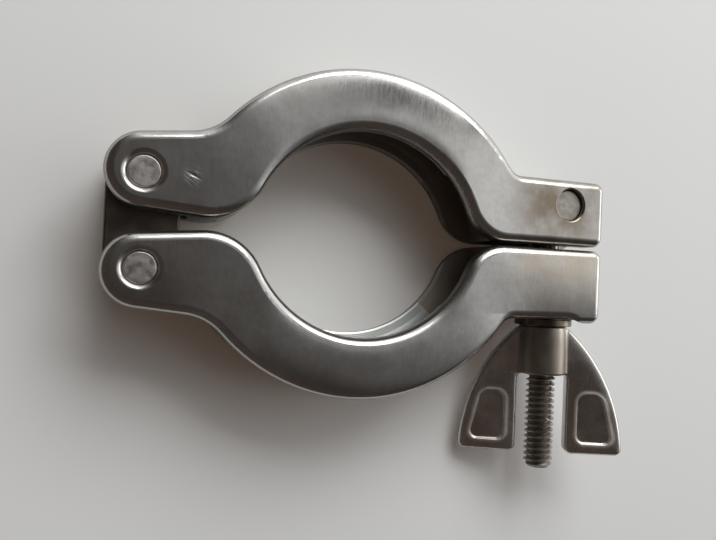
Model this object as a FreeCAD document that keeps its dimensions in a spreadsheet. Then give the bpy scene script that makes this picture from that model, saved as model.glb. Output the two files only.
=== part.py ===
import FreeCAD, Part
import math
import os
import Sketcher

# Hinged vacuum flange clamp: two cast half rings joined by a two-pin link, closed by a swing
# bolt with a wing nut. Millimetres. X runs from the hinge to the bolt, Y across the parting
# plane, Z along the flange axis. The origin is the centre of the lower half's seat arc.

os.makedirs("parts", exist_ok=True)
doc = FreeCAD.newDocument("flange_clamp")

# Driving dimensions

SIZES = [
    # ring
    ("clamp_width", 17.2, "thickness of both halves along the flange axis"),
    ("lip_radius", 23.1, "inner edge of the lips, clear of the flange neck"),
    ("seat_offset", 3.0, "seat arc centre past the parting plane, taken up by the flange"),
    ("back_radius", 37.1, "outer face of the ring"),
    ("back_offset", 5.3, "centre of the outer arc past the parting plane"),
    ("edge_round", 1.8, "round on the outline, both faces"),
    # groove
    ("groove_mouth", 11.2, "width between the lips"),
    ("groove_radius", 27.9, "bottom of the turned groove"),
    ("groove_flank", 15.0, "slope of each flank, degrees"),
    ("seat_half_angle", 45.5, "turned seat each side of the crown, degrees"),
    ("relief_step", 0.6, "cast groove deeper than the turned seat"),
    ("relief_width", 1.0, "cast groove wider than the turned seat"),
    # hinge ears
    ("hinge_pin_x", 41.5, "hinge pins left of the ring centre"),
    ("hinge_pin_y", 8.3, "each hinge pin off the parting plane"),
    ("ear_y", 8.7, "centre of the ear's end off the parting plane"),
    ("ear_radius", 6.7, "round end of the ear"),
    ("ear_back_slope", 6.5, "outer flank, degrees"),
    ("ear_front_slope", 4.7, "inner flank, degrees"),
    ("ear_neck_round", 10.0, "hollow corner between ear and ring"),
    ("ear_front_round", 11.0, "corner between ear and lips"),
    # lugs
    ("lug_end", 53.8, "bolt end of both halves"),
    ("lug_gap", 0.8, "between the closed lugs"),
    ("upper_lug_height", 14.0, "upper lug, from its parting face"),
    ("lower_lug_height", 15.1, "lower lug, parting face to nut seat"),
    ("lug_neck_round", 3.6, "hollow corner between ring and lug"),
    ("lug_corner_round", 2.0, "outer corners in plan"),
    ("lug_front_round", 9.5, "corner between lips and parting face"),
    # nut seat
    ("lip_drop", 0.75, "rim that keeps the washer on its seat"),
    ("rim_ramp_start", 45.4, "rim begins to rise"),
    ("rim_ramp_end", 48.2, "rim at full height"),
    ("rim_ramp_round", 3.0, "blend at both ends of the ramp"),
    ("seat_radius", 8.3, "round pocket for the washer"),
    ("seat_wall", 35.0, "slope of the pocket's wall, degrees"),
    # link and pins
    ("hinge_slot", 6.6, "slot between the ear cheeks"),
    ("hinge_slot_floor", 1.2, "link end to slot floor"),
    ("link_radius", 6.5, "round ends of the link"),
    ("link_play", 0.15, "link to each cheek"),
    ("link_edge", 0.5, "round on the link's edges"),
    ("pin_diameter", 5.8, "hinge pins"),
    ("pin_play", 0.05, "running fit round each pin, radial"),
    ("pin_sink", 0.6, "pin ends below the face"),
    ("pin_edge", 0.4, "round on the pin ends"),
    ("hinge_mouth_round", 1.0, "rolled mouth of each hinge pin bore"),
    # swing bolt
    ("bolt_x", 44.85, "bolt axis right of the ring centre"),
    ("bolt_pin_y", 9.0, "bolt pin above the parting plane"),
    ("bolt_pin_diameter", 6.7, "bolt pin"),
    ("bolt_pin_sink", 0.9, "bolt pin ends below the face"),
    ("bolt_mouth_round", 0.4, "rolled mouth of the bolt pin bore"),
    ("bolt_diameter", 6.35, "thread over its crests"),
    ("bolt_reach", 48.7, "free end below the parting plane"),
    ("bolt_end_round", 0.9, "rounded thread end"),
    ("eye_radius", 5.3, "eye round the bolt pin"),
    ("eye_thickness", 6.7, "across the flats of the eye"),
    ("eye_edge", 0.5, "round on the eye"),
    ("fork_slot", 7.2, "slot in both lugs"),
    ("fork_floor", 0.7, "eye to the floor of the upper slot"),
    # washer and wing nut
    ("nut_gap", 0.2, "washer off its seat"),
    ("washer_diameter", 12.4, "washer outside"),
    ("washer_thickness", 1.5, "washer"),
    ("washer_edge", 0.15, "broken edges of the washer"),
    ("washer_play", 0.2, "washer round the bolt, radial"),
    ("nut_face_play", 0.05, "hub off the washer"),
    ("nut_play", 0.05, "nut bore round the thread crests, radial"),
    ("hub_top_diameter", 10.2, "hub at the washer"),
    ("hub_foot_diameter", 10.7, "hub at its free end"),
    ("hub_length", 10.75, "hub along the bolt"),
    ("hub_edge", 0.5, "round on the hub's ends"),
    ("wing_length", 28.25, "nut from washer to wing tips"),
    ("wing_shoulder", 0.6, "wing starts below the hub top"),
    ("wing_head", 5.6, "where the bowed edge leaves the hub, from the bolt axis"),
    ("wing_bar", 3.5, "flat bar between the wings, buried in the hub"),
    ("wing_span", 18.1, "wing tip from the bolt axis"),
    ("wing_bulge", 15.1, "wing edge from the bolt axis, half way down"),
    ("wing_gap", 5.4, "inner edge of the wing from the bolt axis"),
    ("wing_root", 3.6, "wing thickness at the hub"),
    ("wing_taper", 2.6, "wing faces close towards the tip, degrees"),
    ("wing_corner", 1.6, "tip corners in plan"),
    ("wing_crotch", 1.2, "hollow corner under the hub"),
    ("wing_edge", 0.65, "round on the wing's edges"),
    ("wing_blend", 1.0, "hollow corner between wing and hub"),
    ("panel_depth", 0.65, "dished panel in each wing face, at its middle"),
    ("panel_inset", 2.6, "panel's straight side from the wing's inner edge"),
    ("panel_head_wall", 1.8, "panel's slanted side from the bulge of the wing, at its head"),
    ("panel_foot_wall", 2.2, "panel's slanted side from the wing tip, at its foot"),
    ("panel_toe", 2.45, "panel foot above the wing tips"),
    ("panel_length", 10.8, "panel along the bolt"),
    ("panel_head_round", 2.3, "corners of the panel's head"),
    ("panel_foot_round", 1.6, "corners of the panel's foot"),
    ("panel_edge", 0.25, "round at the panel's floor and at its mouth"),
    ("nut_turn", 22.0, "wings turned up from the clamp's plane, degrees"),
]

sheet = doc.addObject("Spreadsheet::Sheet", "dims")
for row, (alias, value, note) in enumerate(SIZES, start=1):
    sheet.set(f"A{row}", alias)
    sheet.set(f"B{row}", str(value))
    sheet.set(f"C{row}", note)
    sheet.setAlias(f"B{row}", alias)
doc.recompute()


def size(alias):
    return float(sheet.get(alias))


# Document helpers

XY, XZ, YZ = "XY_Plane", "XZ_Plane", "YZ_Plane"
BODIES = []


def new_body(name):
    """A body for one piece, raised so that the seat arc centre is the origin."""
    body = doc.addObject("PartDesign::Body", name)
    body.Label = name
    body.setExpression("Placement.Base.y", "-dims.seat_offset")
    BODIES.append(body)
    return body


def new_sketch(body, name, role, offset=None):
    """A sketch on one of the body's own origin planes, lifted off it by an expression."""
    sketch = body.newObject("Sketcher::SketchObject", name)
    plane = next(f for f in body.Origin.OriginFeatures if f.Role == role)
    sketch.AttachmentSupport = [(plane, "")]
    sketch.MapMode = "FlatFace"
    if offset:
        sketch.setExpression("AttachmentOffset.Base.z", offset)
    return sketch


def drive(sketch, label, expression, kind, *where):
    """Adds a dimension at its present value and binds it to an expression of the sheet."""
    index = sketch.addConstraint(Sketcher.Constraint(kind, *where))
    sketch.renameConstraint(index, label)
    sketch.setExpression(f"Constraints.{label}", expression)


def solid_feature(body, kind, name, sketch, **settings):
    feature = body.newObject(f"PartDesign::{kind}", name)
    feature.Profile = sketch
    for key, value in settings.items():
        if key in ("Length", "Angle"):
            feature.setExpression(key, value)
        else:
            setattr(feature, key, value)
    sketch.Visibility = False
    body.Tip = feature
    doc.recompute()
    if "Invalid" in feature.State or feature.Shape.isNull() or not feature.Shape.isValid():
        raise RuntimeError(f"{name}: {feature.getStatusString()} {sketch.getStatusString()}")
    return feature


def cut(body, kind, name, sketch, **settings):
    """A cutting feature, checked to take material away."""
    before = body.Tip.Shape.Volume
    feature = solid_feature(body, kind, name, sketch, **settings)
    if feature.Shape.Volume > before - 1e-3:
        raise RuntimeError(f"{name} cuts nothing")
    return feature


def dress(body, kind, name, edges, expression):
    """Fillet or Chamfer on edges that are named by a test on the present shape."""
    base = body.Tip
    names = [f"Edge{i}" for i, edge in enumerate(base.Shape.Edges, start=1) if edges(edge)]
    feature = body.newObject(f"PartDesign::{kind}", name)
    feature.Base = (base, names)
    feature.setExpression("Radius" if kind == "Fillet" else "Size", expression)
    body.Tip = feature
    doc.recompute()
    return feature


def mirror_feature(body, name, feature, role):
    """Repeats a feature on the other side of one of the body's own planes."""
    before = body.Tip.Shape.Volume
    mirrored = body.newObject("PartDesign::Mirrored", name)
    mirrored.Originals = [feature]
    plane = next(f for f in body.Origin.OriginFeatures if f.Role == role)
    mirrored.MirrorPlane = (plane, [""])
    body.Tip = mirrored
    doc.recompute()
    if mirrored.Shape.Volume > before - 1e-3:
        raise RuntimeError(f"{name} cuts nothing")
    return mirrored


def upright_near(shape, x, y):
    """The edge along Z that stands nearest to a corner of the plan."""
    def gap(edge):
        middle = edge.BoundBox.Center
        return math.hypot(middle.x - x, middle.y - y)
    upright = [e for e in shape.Edges if e.BoundBox.XLength + e.BoundBox.YLength < 1e-4]
    return min(upright, key=gap)


def same_edge(edge):
    return lambda other: other.isSame(edge)


# Plan geometry that the sketches start from

V = FreeCAD.Vector


def polar(centre, radius, degrees):
    turn = math.radians(degrees)
    return V(centre.x + radius * math.cos(turn), centre.y + radius * math.sin(turn), 0)


def line_meets_circle(start, degrees, centre, radius, side):
    """Where a line from start at an angle meets a circle; side picks the hit, -1 or 1."""
    along = polar(V(), 1, degrees)
    middle = (centre - start).dot(along)
    off = (start + along * middle - centre).Length
    return start + along * (middle + side * math.sqrt(radius ** 2 - off ** 2))


def arc(centre, radius, first, last):
    """Arc from one plan point to another, anticlockwise."""
    start = math.atan2(first.y - centre.y, first.x - centre.x)
    end = math.atan2(last.y - centre.y, last.x - centre.x)
    circle = Part.Circle(centre, V(0, 0, 1), radius)
    return Part.ArcOfCircle(circle, start, end if end > start else end + 2 * math.pi)


# The points of a sketch's line or arc, and the sketch's own axes
START, END, CENTRE = range(1, 4)
H_AXIS, V_AXIS = -1, -2
ORIGIN = (-1, 1)


def height_of(sketch, label, expression, point, up):
    """Fixes how far a point lies above the parting plane, or below it."""
    ends = (*ORIGIN, *point) if up else (*point, *ORIGIN)
    drive(sketch, label, expression, "DistanceY", *ends, size_of(expression))


def size_of(expression):
    """Value of a sum of sheet cells, to start a constraint from."""
    total = 0.0
    for term in expression.replace("- ", "-").replace("+ ", "").split():
        sign = -1 if term.startswith("-") else 1
        parts = term.lstrip("-").split("/")
        value = size(parts[0].replace("dims.", ""))
        total += sign * (value / float(parts[1]) if len(parts) > 1 else value)
    return total


# Half rings


def half_outline(body, up):
    """
    Plan of a half: ear end, outer flank, ring back, lug, lips and inner flank.
    The lower half is the same outline turned over, with a rim past the nut seat.
    """
    sketch = new_sketch(body, "outline", XY)
    flip = 1 if up else -1

    def place(x, y):
        return V(x, flip * y, 0)

    lug_face = size("lug_gap") / 2
    lug_height = size("upper_lug_height") if up else size("lower_lug_height")
    lug_top = lug_face + lug_height
    ear = V(-size("hinge_pin_x"), size("ear_y"), 0)
    back = V(0, -size("back_offset"), 0)
    seat = V(0, -size("seat_offset"), 0)
    back_slope = size("ear_back_slope")
    front_slope = size("ear_front_slope")
    ear_back = polar(ear, size("ear_radius"), 90 + back_slope)
    ear_front = polar(ear, size("ear_radius"), -90 - front_slope)
    neck = line_meets_circle(ear_back, back_slope, back, size("back_radius"), -1)
    lug_neck = line_meets_circle(V(0, lug_top, 0), 0, back, size("back_radius"), 1)
    lug_front = line_meets_circle(V(0, lug_face, 0), 0, seat, size("lip_radius"), 1)
    front = line_meets_circle(ear_front, -front_slope, seat, size("lip_radius"), -1)
    lug_end = size("lug_end")

    # corners of the lug from the ring back round to the parting face
    lug = [lug_neck]
    if not up:
        rim = lug_top + size("lip_drop")
        lug += [V(size("rim_ramp_start"), lug_top, 0), V(size("rim_ramp_end"), rim, 0)]
        lug += [V(lug_end, rim, 0)]
    else:
        lug += [V(lug_end, lug_top, 0)]
    lug += [V(lug_end, lug_face, 0), lug_front]

    def turned(centre, radius, first, last, anticlockwise):
        points = (place(first.x, first.y), place(last.x, last.y))
        if anticlockwise != up:
            points = points[::-1]
        return arc(place(centre.x, centre.y), radius, *points)

    def line(first, last):
        return Part.LineSegment(place(first.x, first.y), place(last.x, last.y))

    ear_arc = sketch.addGeometry(turned(ear, size("ear_radius"), ear_back, ear_front, True))
    flank = sketch.addGeometry(line(ear_back, neck))
    back_arc = sketch.addGeometry(turned(back, size("back_radius"), neck, lug_neck, False))
    sides = [sketch.addGeometry(line(a, b)) for a, b in zip(lug, lug[1:])]
    lips = sketch.addGeometry(turned(seat, size("lip_radius"), lug_front, front, True))
    front_flank = sketch.addGeometry(line(front, ear_front))

    # which end of each arc comes first on the way round
    first, last = (START, END) if up else (END, START)

    def join(a, a_end, b, b_end, kind="Coincident"):
        sketch.addConstraint(Sketcher.Constraint(kind, a, a_end, b, b_end))

    join(flank, START, ear_arc, first, "Tangent")
    join(flank, END, back_arc, last)
    join(back_arc, first, sides[0], START)
    for a, b in zip(sides, sides[1:]):
        join(a, END, b, START)
    join(sides[-1], END, lips, first)
    join(lips, last, front_flank, START)
    join(front_flank, END, ear_arc, last, "Tangent")

    drive(sketch, "ear_radius", "dims.ear_radius", "Radius", ear_arc, size("ear_radius"))
    drive(sketch, "ear_x", "dims.hinge_pin_x", "DistanceX",
          ear_arc, CENTRE, *ORIGIN, size("hinge_pin_x"))
    height_of(sketch, "ear_y", "dims.ear_y", (ear_arc, CENTRE), up)
    for label, arc_index in (("back", back_arc), ("seat", lips)):
        sketch.addConstraint(Sketcher.Constraint("PointOnObject", arc_index, CENTRE, V_AXIS))
        height_of(sketch, f"{label}_y", f"dims.{label}_offset", (arc_index, CENTRE), not up)
    drive(sketch, "back_radius", "dims.back_radius", "Radius", back_arc, size("back_radius"))
    drive(sketch, "lip_radius", "dims.lip_radius", "Radius", lips, size("lip_radius"))
    for label, index, slope in (("back_slope", flank, back_slope),
                                ("front_slope", front_flank, -front_slope)):
        angle = slope * flip
        name = f"dims.ear_{label}"
        if index == front_flank:
            angle += 180 if angle < 0 else -180
            name = f"180deg - {name} * 1deg" if up else f"{name} * 1deg - 180deg"
        else:
            name = f"{name} * 1deg" if up else f"-{name} * 1deg"
        drive(sketch, label, name, "Angle", index, math.radians(angle))
    for side, name in ((sides[0], "Horizontal"), (sides[-2], "Vertical"), (sides[-1], "Horizontal")):
        sketch.addConstraint(Sketcher.Constraint(name, side))
    drive(sketch, "lug_end", "dims.lug_end", "DistanceX", *ORIGIN, sides[-1], START, lug_end)
    height_of(sketch, "lug_face", "dims.lug_gap/2", (sides[-1], START), up)
    if up:
        height_of(sketch, "lug_top", "dims.lug_gap/2 + dims.upper_lug_height", (sides[0], END), up)
        corners = {"lug_corner": [(lug_end, lug_top), (lug_end, lug_face)]}
    else:
        seat_level = "dims.lug_gap/2 + dims.lower_lug_height"
        sketch.addConstraint(Sketcher.Constraint("Horizontal", sides[2]))
        height_of(sketch, "lug_top", seat_level, (sides[0], END), up)
        height_of(sketch, "rim", f"{seat_level} + dims.lip_drop", (sides[1], END), up)
        for label, point in (("rim_ramp_start", (sides[0], END)), ("rim_ramp_end", (sides[1], END))):
            drive(sketch, label, f"dims.{label}", "DistanceX", *ORIGIN, *point, size(label))
        corners = {"lug_corner": [(lug_end, rim), (lug_end, lug_face)],
                   "rim_ramp": [(p.x, p.y) for p in lug[1:3]]}
    corners["ear_neck"] = [(neck.x, neck.y)]
    corners["lug_neck"] = [(lug_neck.x, lug_neck.y)]
    corners["lug_front"] = [(lug_front.x, lug_front.y)]
    corners["ear_front"] = [(front.x, front.y)]
    doc.recompute()
    placed = {name: [place(*c) for c in spots] for name, spots in corners.items()}
    return sketch, placed


def groove_section(body, name, role, up, relief):
    """
    Half section of the V groove on a plane through the axis of the seat arc: the crown plane
    for the turned seat, the plane along X for the deeper cast relief on each side of it.
    """
    sketch = new_sketch(body, name, role)
    across = 1 if role == XZ or up else -1
    if role == XZ:
        sketch.setExpression("AttachmentOffset.Base.z", f"{'' if up else '-'}dims.seat_offset")
    else:
        sketch.setExpression("AttachmentOffset.Base.x", f"{'-' if up else ''}dims.seat_offset")
    radius = "dims.groove_radius" + (" + dims.relief_step" if relief else "")
    half_mouth = "dims.groove_mouth/2" + (" + dims.relief_width/2" if relief else "")
    slope = math.tan(math.radians(size("groove_flank")))
    inner = size("lip_radius") / 2
    floor = size_of(half_mouth) - (size_of(radius) - 2 * inner) * slope
    start = size_of(half_mouth) + inner * slope
    reach = size_of(radius)
    points = [V(across * inner, -start, 0), V(across * reach, -floor, 0),
              V(across * reach, floor, 0), V(across * inner, start, 0)]
    for a, b in zip(points, points[1:] + points[:1]):
        sketch.addGeometry(Part.LineSegment(a, b))
    for a in range(4):
        sketch.addConstraint(Sketcher.Constraint("Coincident", a, END, (a + 1) % 4, START))
    sketch.addConstraint(Sketcher.Constraint("Symmetric", 1, START, 1, END, H_AXIS))
    sketch.addConstraint(Sketcher.Constraint("Symmetric", 3, START, 3, END, H_AXIS))
    for label, expression, at, value in (("floor", radius, (1, START), reach),
                                         ("inner", "dims.lip_radius/2", (3, START), inner)):
        ends = (*ORIGIN, *at) if across > 0 else (*at, *ORIGIN)
        drive(sketch, f"{label}_radius", expression, "DistanceX", *ends, value)
    tangent = "tan(dims.groove_flank * 1deg)"
    drive(sketch, "floor_width", f"2 * ({half_mouth} - ({radius} - dims.lip_radius) * {tangent})",
          "DistanceY", 1, START, 1, END, 2 * floor)
    drive(sketch, "inner_width", f"2 * ({half_mouth} + dims.lip_radius/2 * {tangent})",
          "DistanceY", 3, END, 3, START, 2 * start)
    doc.recompute()
    return sketch


def slot_sketch(body, name, role, left, right, half_width, round_floor, offset=None):
    """
    Slot seen along its cut: from a floor on the left, flat or half round, past the right.
    left, right and half_width are (expression, value) pairs.
    """
    sketch = new_sketch(body, name, role, offset)
    x0, x1, half = left[1], right[1], half_width[1]
    corners = [V(x0, -half, 0), V(x1, -half, 0), V(x1, half, 0), V(x0, half, 0)]
    for a, b in zip(corners, corners[1:]):
        sketch.addGeometry(Part.LineSegment(a, b))
    if round_floor:
        middle = V(x0, 0, 0)
        sketch.addGeometry(arc(middle, half, corners[3], corners[0]))
        closing = ("Tangent", "Tangent")
    else:
        sketch.addGeometry(Part.LineSegment(corners[3], corners[0]))
        closing = ("Coincident", "Coincident")
    for a in range(2):
        sketch.addConstraint(Sketcher.Constraint("Coincident", a, END, a + 1, START))
    sketch.addConstraint(Sketcher.Constraint(closing[0], 2, END, 3, START))
    sketch.addConstraint(Sketcher.Constraint(closing[1], 3, END, 0, START))
    sketch.addConstraint(Sketcher.Constraint("Horizontal", 0))
    sketch.addConstraint(Sketcher.Constraint("Horizontal", 2))
    if not round_floor:
        sketch.addConstraint(Sketcher.Constraint("Vertical", 3))
    sketch.addConstraint(Sketcher.Constraint("Symmetric", 1, START, 1, END, H_AXIS))
    drive(sketch, "width", f"2 * ({half_width[0]})", "DistanceY", 1, START, 1, END, 2 * half)
    point = (3, CENTRE) if round_floor else (0, START)
    for label, pair, at in (("floor", left, point), ("mouth", right, (1, START))):
        ends = (*ORIGIN, *at) if pair[1] > 0 else (*at, *ORIGIN)
        expression = pair[0] if pair[1] > 0 else f"-({pair[0]})"
        drive(sketch, label, expression, "DistanceX", *ends, abs(pair[1]))
    doc.recompute()
    return sketch


def circle_sketch(body, name, centre, diameter, offset=None, role=XY):
    """One circle; centre holds two (expression, value) pairs, diameter one."""
    sketch = new_sketch(body, name, role, offset)
    x, y = centre
    sketch.addGeometry(Part.Circle(V(x[1], y[1], 0), V(0, 0, 1), diameter[1] / 2))
    drive(sketch, "diameter", diameter[0], "Diameter", 0, diameter[1])
    for label, pair, kind in (("x", x, "DistanceX"), ("y", y, "DistanceY")):
        if pair[1] == 0:
            axis = V_AXIS if label == "x" else H_AXIS
            sketch.addConstraint(Sketcher.Constraint("PointOnObject", 0, CENTRE, axis))
            continue
        ends = (*ORIGIN, 0, CENTRE) if pair[1] > 0 else (0, CENTRE, *ORIGIN)
        expression = pair[0] if pair[1] > 0 else f"-({pair[0]})"
        drive(sketch, label, expression, kind, *ends, abs(pair[1]))
    doc.recompute()
    return sketch


def pair(expression, sign=1):
    """An expression with its value, negated where sign is -1."""
    value = size_of(expression)
    return (expression, value) if sign > 0 else (f"-({expression})", -value)


def pin_bore(body, tag, centre, bore, mouth_round):
    """Bore through both cheeks, its mouths rolled over on both faces."""
    through = circle_sketch(body, f"{tag}_bore_circle", centre, pair(bore))
    cut(body, "Pocket", f"{tag}_bore", through, Type="ThroughAll", SideType="Symmetric")
    face, radius = size("clamp_width") / 2, size_of(bore) / 2

    def mouth(edge):
        box = edge.BoundBox
        here = math.hypot(box.Center.x - centre[0][1], box.Center.y - centre[1][1]) < 1e-3
        return here and abs(abs(box.ZMax) - face) < 1e-4 and box.ZLength < 1e-4 \
            and abs(box.XLength / 2 - radius) < 1e-3

    dress(body, "Fillet", f"{tag}_mouth", mouth, mouth_round)


def half_ring(name, up):
    """One cast half: outline, edge rounds, groove, hinge slot and pin bore."""
    body = new_body(name)
    outline, corners = half_outline(body, up)
    solid_feature(body, "Pad", "casting", outline, Length="dims.clamp_width", SideType="Symmetric")
    for corner in ("ear_neck", "lug_neck", "lug_front", "ear_front", "lug_corner"):
        for spot in corners[corner]:
            edge = upright_near(body.Tip.Shape, spot.x, spot.y)
            dress(body, "Fillet", f"{corner}_round", same_edge(edge), f"dims.{corner}_round")
    for spot in corners.get("rim_ramp", []):
        edge = upright_near(body.Tip.Shape, spot.x, spot.y)
        dress(body, "Fillet", "rim_ramp_round", same_edge(edge), "dims.rim_ramp_round")
    dress(body, "Fillet", "edge_round", lambda e: e.BoundBox.ZLength < 1e-4, "dims.edge_round")

    seat = groove_section(body, "seat_section", YZ, up, False)
    cut(body, "Groove", "turned_seat", seat, ReferenceAxis=(seat, ["V_Axis"]), Midplane=True,
        Angle="2 * dims.seat_half_angle")
    relief = groove_section(body, "relief_section", XZ, up, True)
    cut(body, "Groove", "cast_relief", relief, ReferenceAxis=(relief, ["V_Axis"]),
        Reversed=not up, Angle="90 - dims.seat_half_angle")
    mirror_feature(body, "cast_relief_far", body.Tip, YZ)

    floor_text = "dims.hinge_pin_x - dims.link_radius - dims.hinge_slot_floor"
    outside = "dims.hinge_pin_x + dims.ear_radius + dims.ear_radius"
    slot = slot_sketch(body, "hinge_slot_sketch", XZ, pair(outside, -1), pair(floor_text, -1),
                       pair("dims.hinge_slot/2"), False)
    cut(body, "Pocket", "hinge_slot", slot, Type="ThroughAll", SideType="Symmetric")
    side = 1 if up else -1
    centre = (pair("dims.hinge_pin_x", -1), pair("dims.hinge_pin_y", side))
    pin_bore(body, "hinge_pin", centre, "dims.pin_diameter", "dims.hinge_mouth_round")
    return body


upper = half_ring("upper_clamp_half", True)
fork_floor = "dims.bolt_x - dims.eye_radius - dims.fork_floor"
past_end = "dims.lug_end + dims.lug_corner_round + dims.fork_slot"
fork = slot_sketch(upper, "fork_sketch", XZ, pair(fork_floor), pair(past_end),
                   pair("dims.fork_slot/2"), False)
cut(upper, "Pocket", "fork_slot", fork, Type="ThroughAll", SideType="Symmetric")
bolt_pin_centre = (pair("dims.bolt_x"), pair("dims.bolt_pin_y"))
pin_bore(upper, "bolt_pin", bolt_pin_centre, "dims.bolt_pin_diameter", "dims.bolt_mouth_round")

# The nut seat stands in a round pocket, whose wall leaves a rim round the bolt slot.

lower = half_ring("lower_clamp_half", False)
seat_level = "dims.lug_gap/2 + dims.lower_lug_height"
pocket = circle_sketch(lower, "nut_seat_circle", (pair("dims.bolt_x"), ("0", 0.0)),
                       pair("dims.seat_radius + dims.seat_radius"), seat_level, XZ)
seat = cut(lower, "Pocket", "nut_seat", pocket, Length="dims.lip_drop + dims.lip_drop",
           Reversed=True)
seat.setExpression("TaperAngle", "dims.seat_wall")
slot = slot_sketch(lower, "bolt_slot_sketch", XZ, pair("dims.bolt_x"), pair(past_end),
                   pair("dims.fork_slot/2"), True)
cut(lower, "Pocket", "bolt_slot", slot, Type="ThroughAll", SideType="Symmetric")

# Link

link = new_body("hinge_link")
ends = new_sketch(link, "link_outline", XY)
reach, centre_y, radius = size("hinge_pin_x"), size("hinge_pin_y"), size("link_radius")
top, bottom = V(-reach, centre_y, 0), V(-reach, -centre_y, 0)
side = V(radius, 0, 0)
ends.addGeometry(arc(top, radius, top + side, top - side))
ends.addGeometry(Part.LineSegment(top - side, bottom - side))
ends.addGeometry(arc(bottom, radius, bottom - side, bottom + side))
ends.addGeometry(Part.LineSegment(bottom + side, top + side))
for first in range(4):
    ends.addConstraint(Sketcher.Constraint("Tangent", first, END, (first + 1) % 4, START))
ends.addConstraint(Sketcher.Constraint("Symmetric", 0, CENTRE, 2, CENTRE, H_AXIS))
drive(ends, "end_radius", "dims.link_radius", "Radius", 0, radius)
drive(ends, "pin_x", "dims.hinge_pin_x", "DistanceX", 0, CENTRE, *ORIGIN, reach)
drive(ends, "centres", "2 * dims.hinge_pin_y", "DistanceY", 2, CENTRE, 0, CENTRE, 2 * centre_y)
solid_feature(link, "Pad", "bar", ends, SideType="Symmetric",
              Length="dims.hinge_slot - 2 * dims.link_play")
dress(link, "Fillet", "bar_edge", lambda e: e.BoundBox.ZLength < 1e-4, "dims.link_edge")
for tag, sign in (("upper", 1), ("lower", -1)):
    eye = circle_sketch(link, f"{tag}_eye", (pair("dims.hinge_pin_x", -1),
                                             pair("dims.hinge_pin_y", sign)),
                        ("dims.pin_diameter + 2 * dims.pin_play",
                         size("pin_diameter") + 2 * size("pin_play")))
    cut(link, "Pocket", f"{tag}_eye_bore", eye, Type="ThroughAll", SideType="Symmetric")

# Pins


def pin(name, x, y, diameter, sink):
    """Plain pin across the clamp, its rounded ends below the faces."""
    body = new_body(name)
    circle = circle_sketch(body, "pin_circle", (x, y), pair(diameter))
    solid_feature(body, "Pad", "shank", circle, SideType="Symmetric",
                  Length=f"dims.clamp_width - 2 * {sink}")
    dress(body, "Fillet", "ends", lambda e: e.BoundBox.ZLength < 1e-4, "dims.pin_edge")


for tag, sign in (("upper", 1), ("lower", -1)):
    pin(f"{tag}_hinge_pin", pair("dims.hinge_pin_x", -1), pair("dims.hinge_pin_y", sign),
        "dims.pin_diameter", "dims.pin_sink")
pin("bolt_pin", *bolt_pin_centre, "dims.bolt_pin_diameter", "dims.bolt_pin_sink")

# Swing bolt: a round shank that ends in a flat eye

bolt = new_body("swing_bolt")
eye = circle_sketch(bolt, "eye_circle", bolt_pin_centre, pair("dims.eye_radius + dims.eye_radius"))
solid_feature(bolt, "Pad", "eye", eye, Length="dims.eye_thickness", SideType="Symmetric")
dress(bolt, "Fillet", "eye_edge", lambda e: e.BoundBox.ZLength < 1e-4, "dims.eye_edge")
shank = circle_sketch(bolt, "shank_circle", (pair("dims.bolt_x"), ("0", 0.0)),
                      pair("dims.bolt_diameter"), "-dims.bolt_pin_y", XZ)
solid_feature(bolt, "Pad", "shank", shank, Length="dims.bolt_pin_y + dims.bolt_reach")
tip_y = -size("bolt_reach")
dress(bolt, "Chamfer", "shank_end", lambda e: abs(e.BoundBox.YMax - tip_y) < 1e-3,
      "dims.bolt_end_round")
eye_bore = circle_sketch(bolt, "eye_bore_circle", bolt_pin_centre,
                         ("dims.bolt_pin_diameter + 2 * dims.pin_play",
                          size("bolt_pin_diameter") + 2 * size("pin_play")))
cut(bolt, "Pocket", "eye_bore", eye_bore, Type="ThroughAll", SideType="Symmetric")

# Washer, under the nut and round the bolt

washer = new_body("washer")
rings = new_sketch(washer, "washer_section", XY)
under = f"{seat_level} + dims.nut_gap"
bore = "dims.bolt_diameter/2 + dims.washer_play"
x0, x1 = size_of(f"dims.bolt_x + {bore}"), size_of("dims.bolt_x + dims.washer_diameter/2")
y1 = -size_of(under)
y0 = y1 - size("washer_thickness")
corners = [V(x0, y0, 0), V(x1, y0, 0), V(x1, y1, 0), V(x0, y1, 0)]
for a, b in zip(corners, corners[1:] + corners[:1]):
    rings.addGeometry(Part.LineSegment(a, b))
for a, name in enumerate(("Horizontal", "Vertical", "Horizontal", "Vertical")):
    rings.addConstraint(Sketcher.Constraint("Coincident", a, END, (a + 1) % 4, START))
    rings.addConstraint(Sketcher.Constraint(name, a))
drive(rings, "inner", f"dims.bolt_x + {bore}", "DistanceX", *ORIGIN, 0, START, x0)
drive(rings, "outer", "dims.bolt_x + dims.washer_diameter/2", "DistanceX", *ORIGIN, 0, END, x1)
drive(rings, "top", under, "DistanceY", 2, START, *ORIGIN, -y1)
drive(rings, "thickness", "dims.washer_thickness", "DistanceY", 1, START, 1, END, y1 - y0)
bolt_axis = rings.addGeometry(Part.LineSegment(V(size("bolt_x"), y0, 0), V(size("bolt_x"), y1, 0)), True)
rings.addConstraint(Sketcher.Constraint("Vertical", bolt_axis))
rings.addConstraint(Sketcher.Constraint("Horizontal", bolt_axis, START, 0, START))
rings.addConstraint(Sketcher.Constraint("Horizontal", bolt_axis, END, 2, START))
drive(rings, "axis", "dims.bolt_x", "DistanceX", *ORIGIN, bolt_axis, START, size("bolt_x"))
solid_feature(washer, "Revolution", "ring", rings, ReferenceAxis=(rings, ["Axis0"]), Angle="360")
dress(washer, "Fillet", "ring_edge", lambda e: e.BoundBox.YLength < 1e-4, "dims.washer_edge")

# Wing nut, drawn about its own axis: X along the wings, Y along the bolt, origin on the hub top

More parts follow.
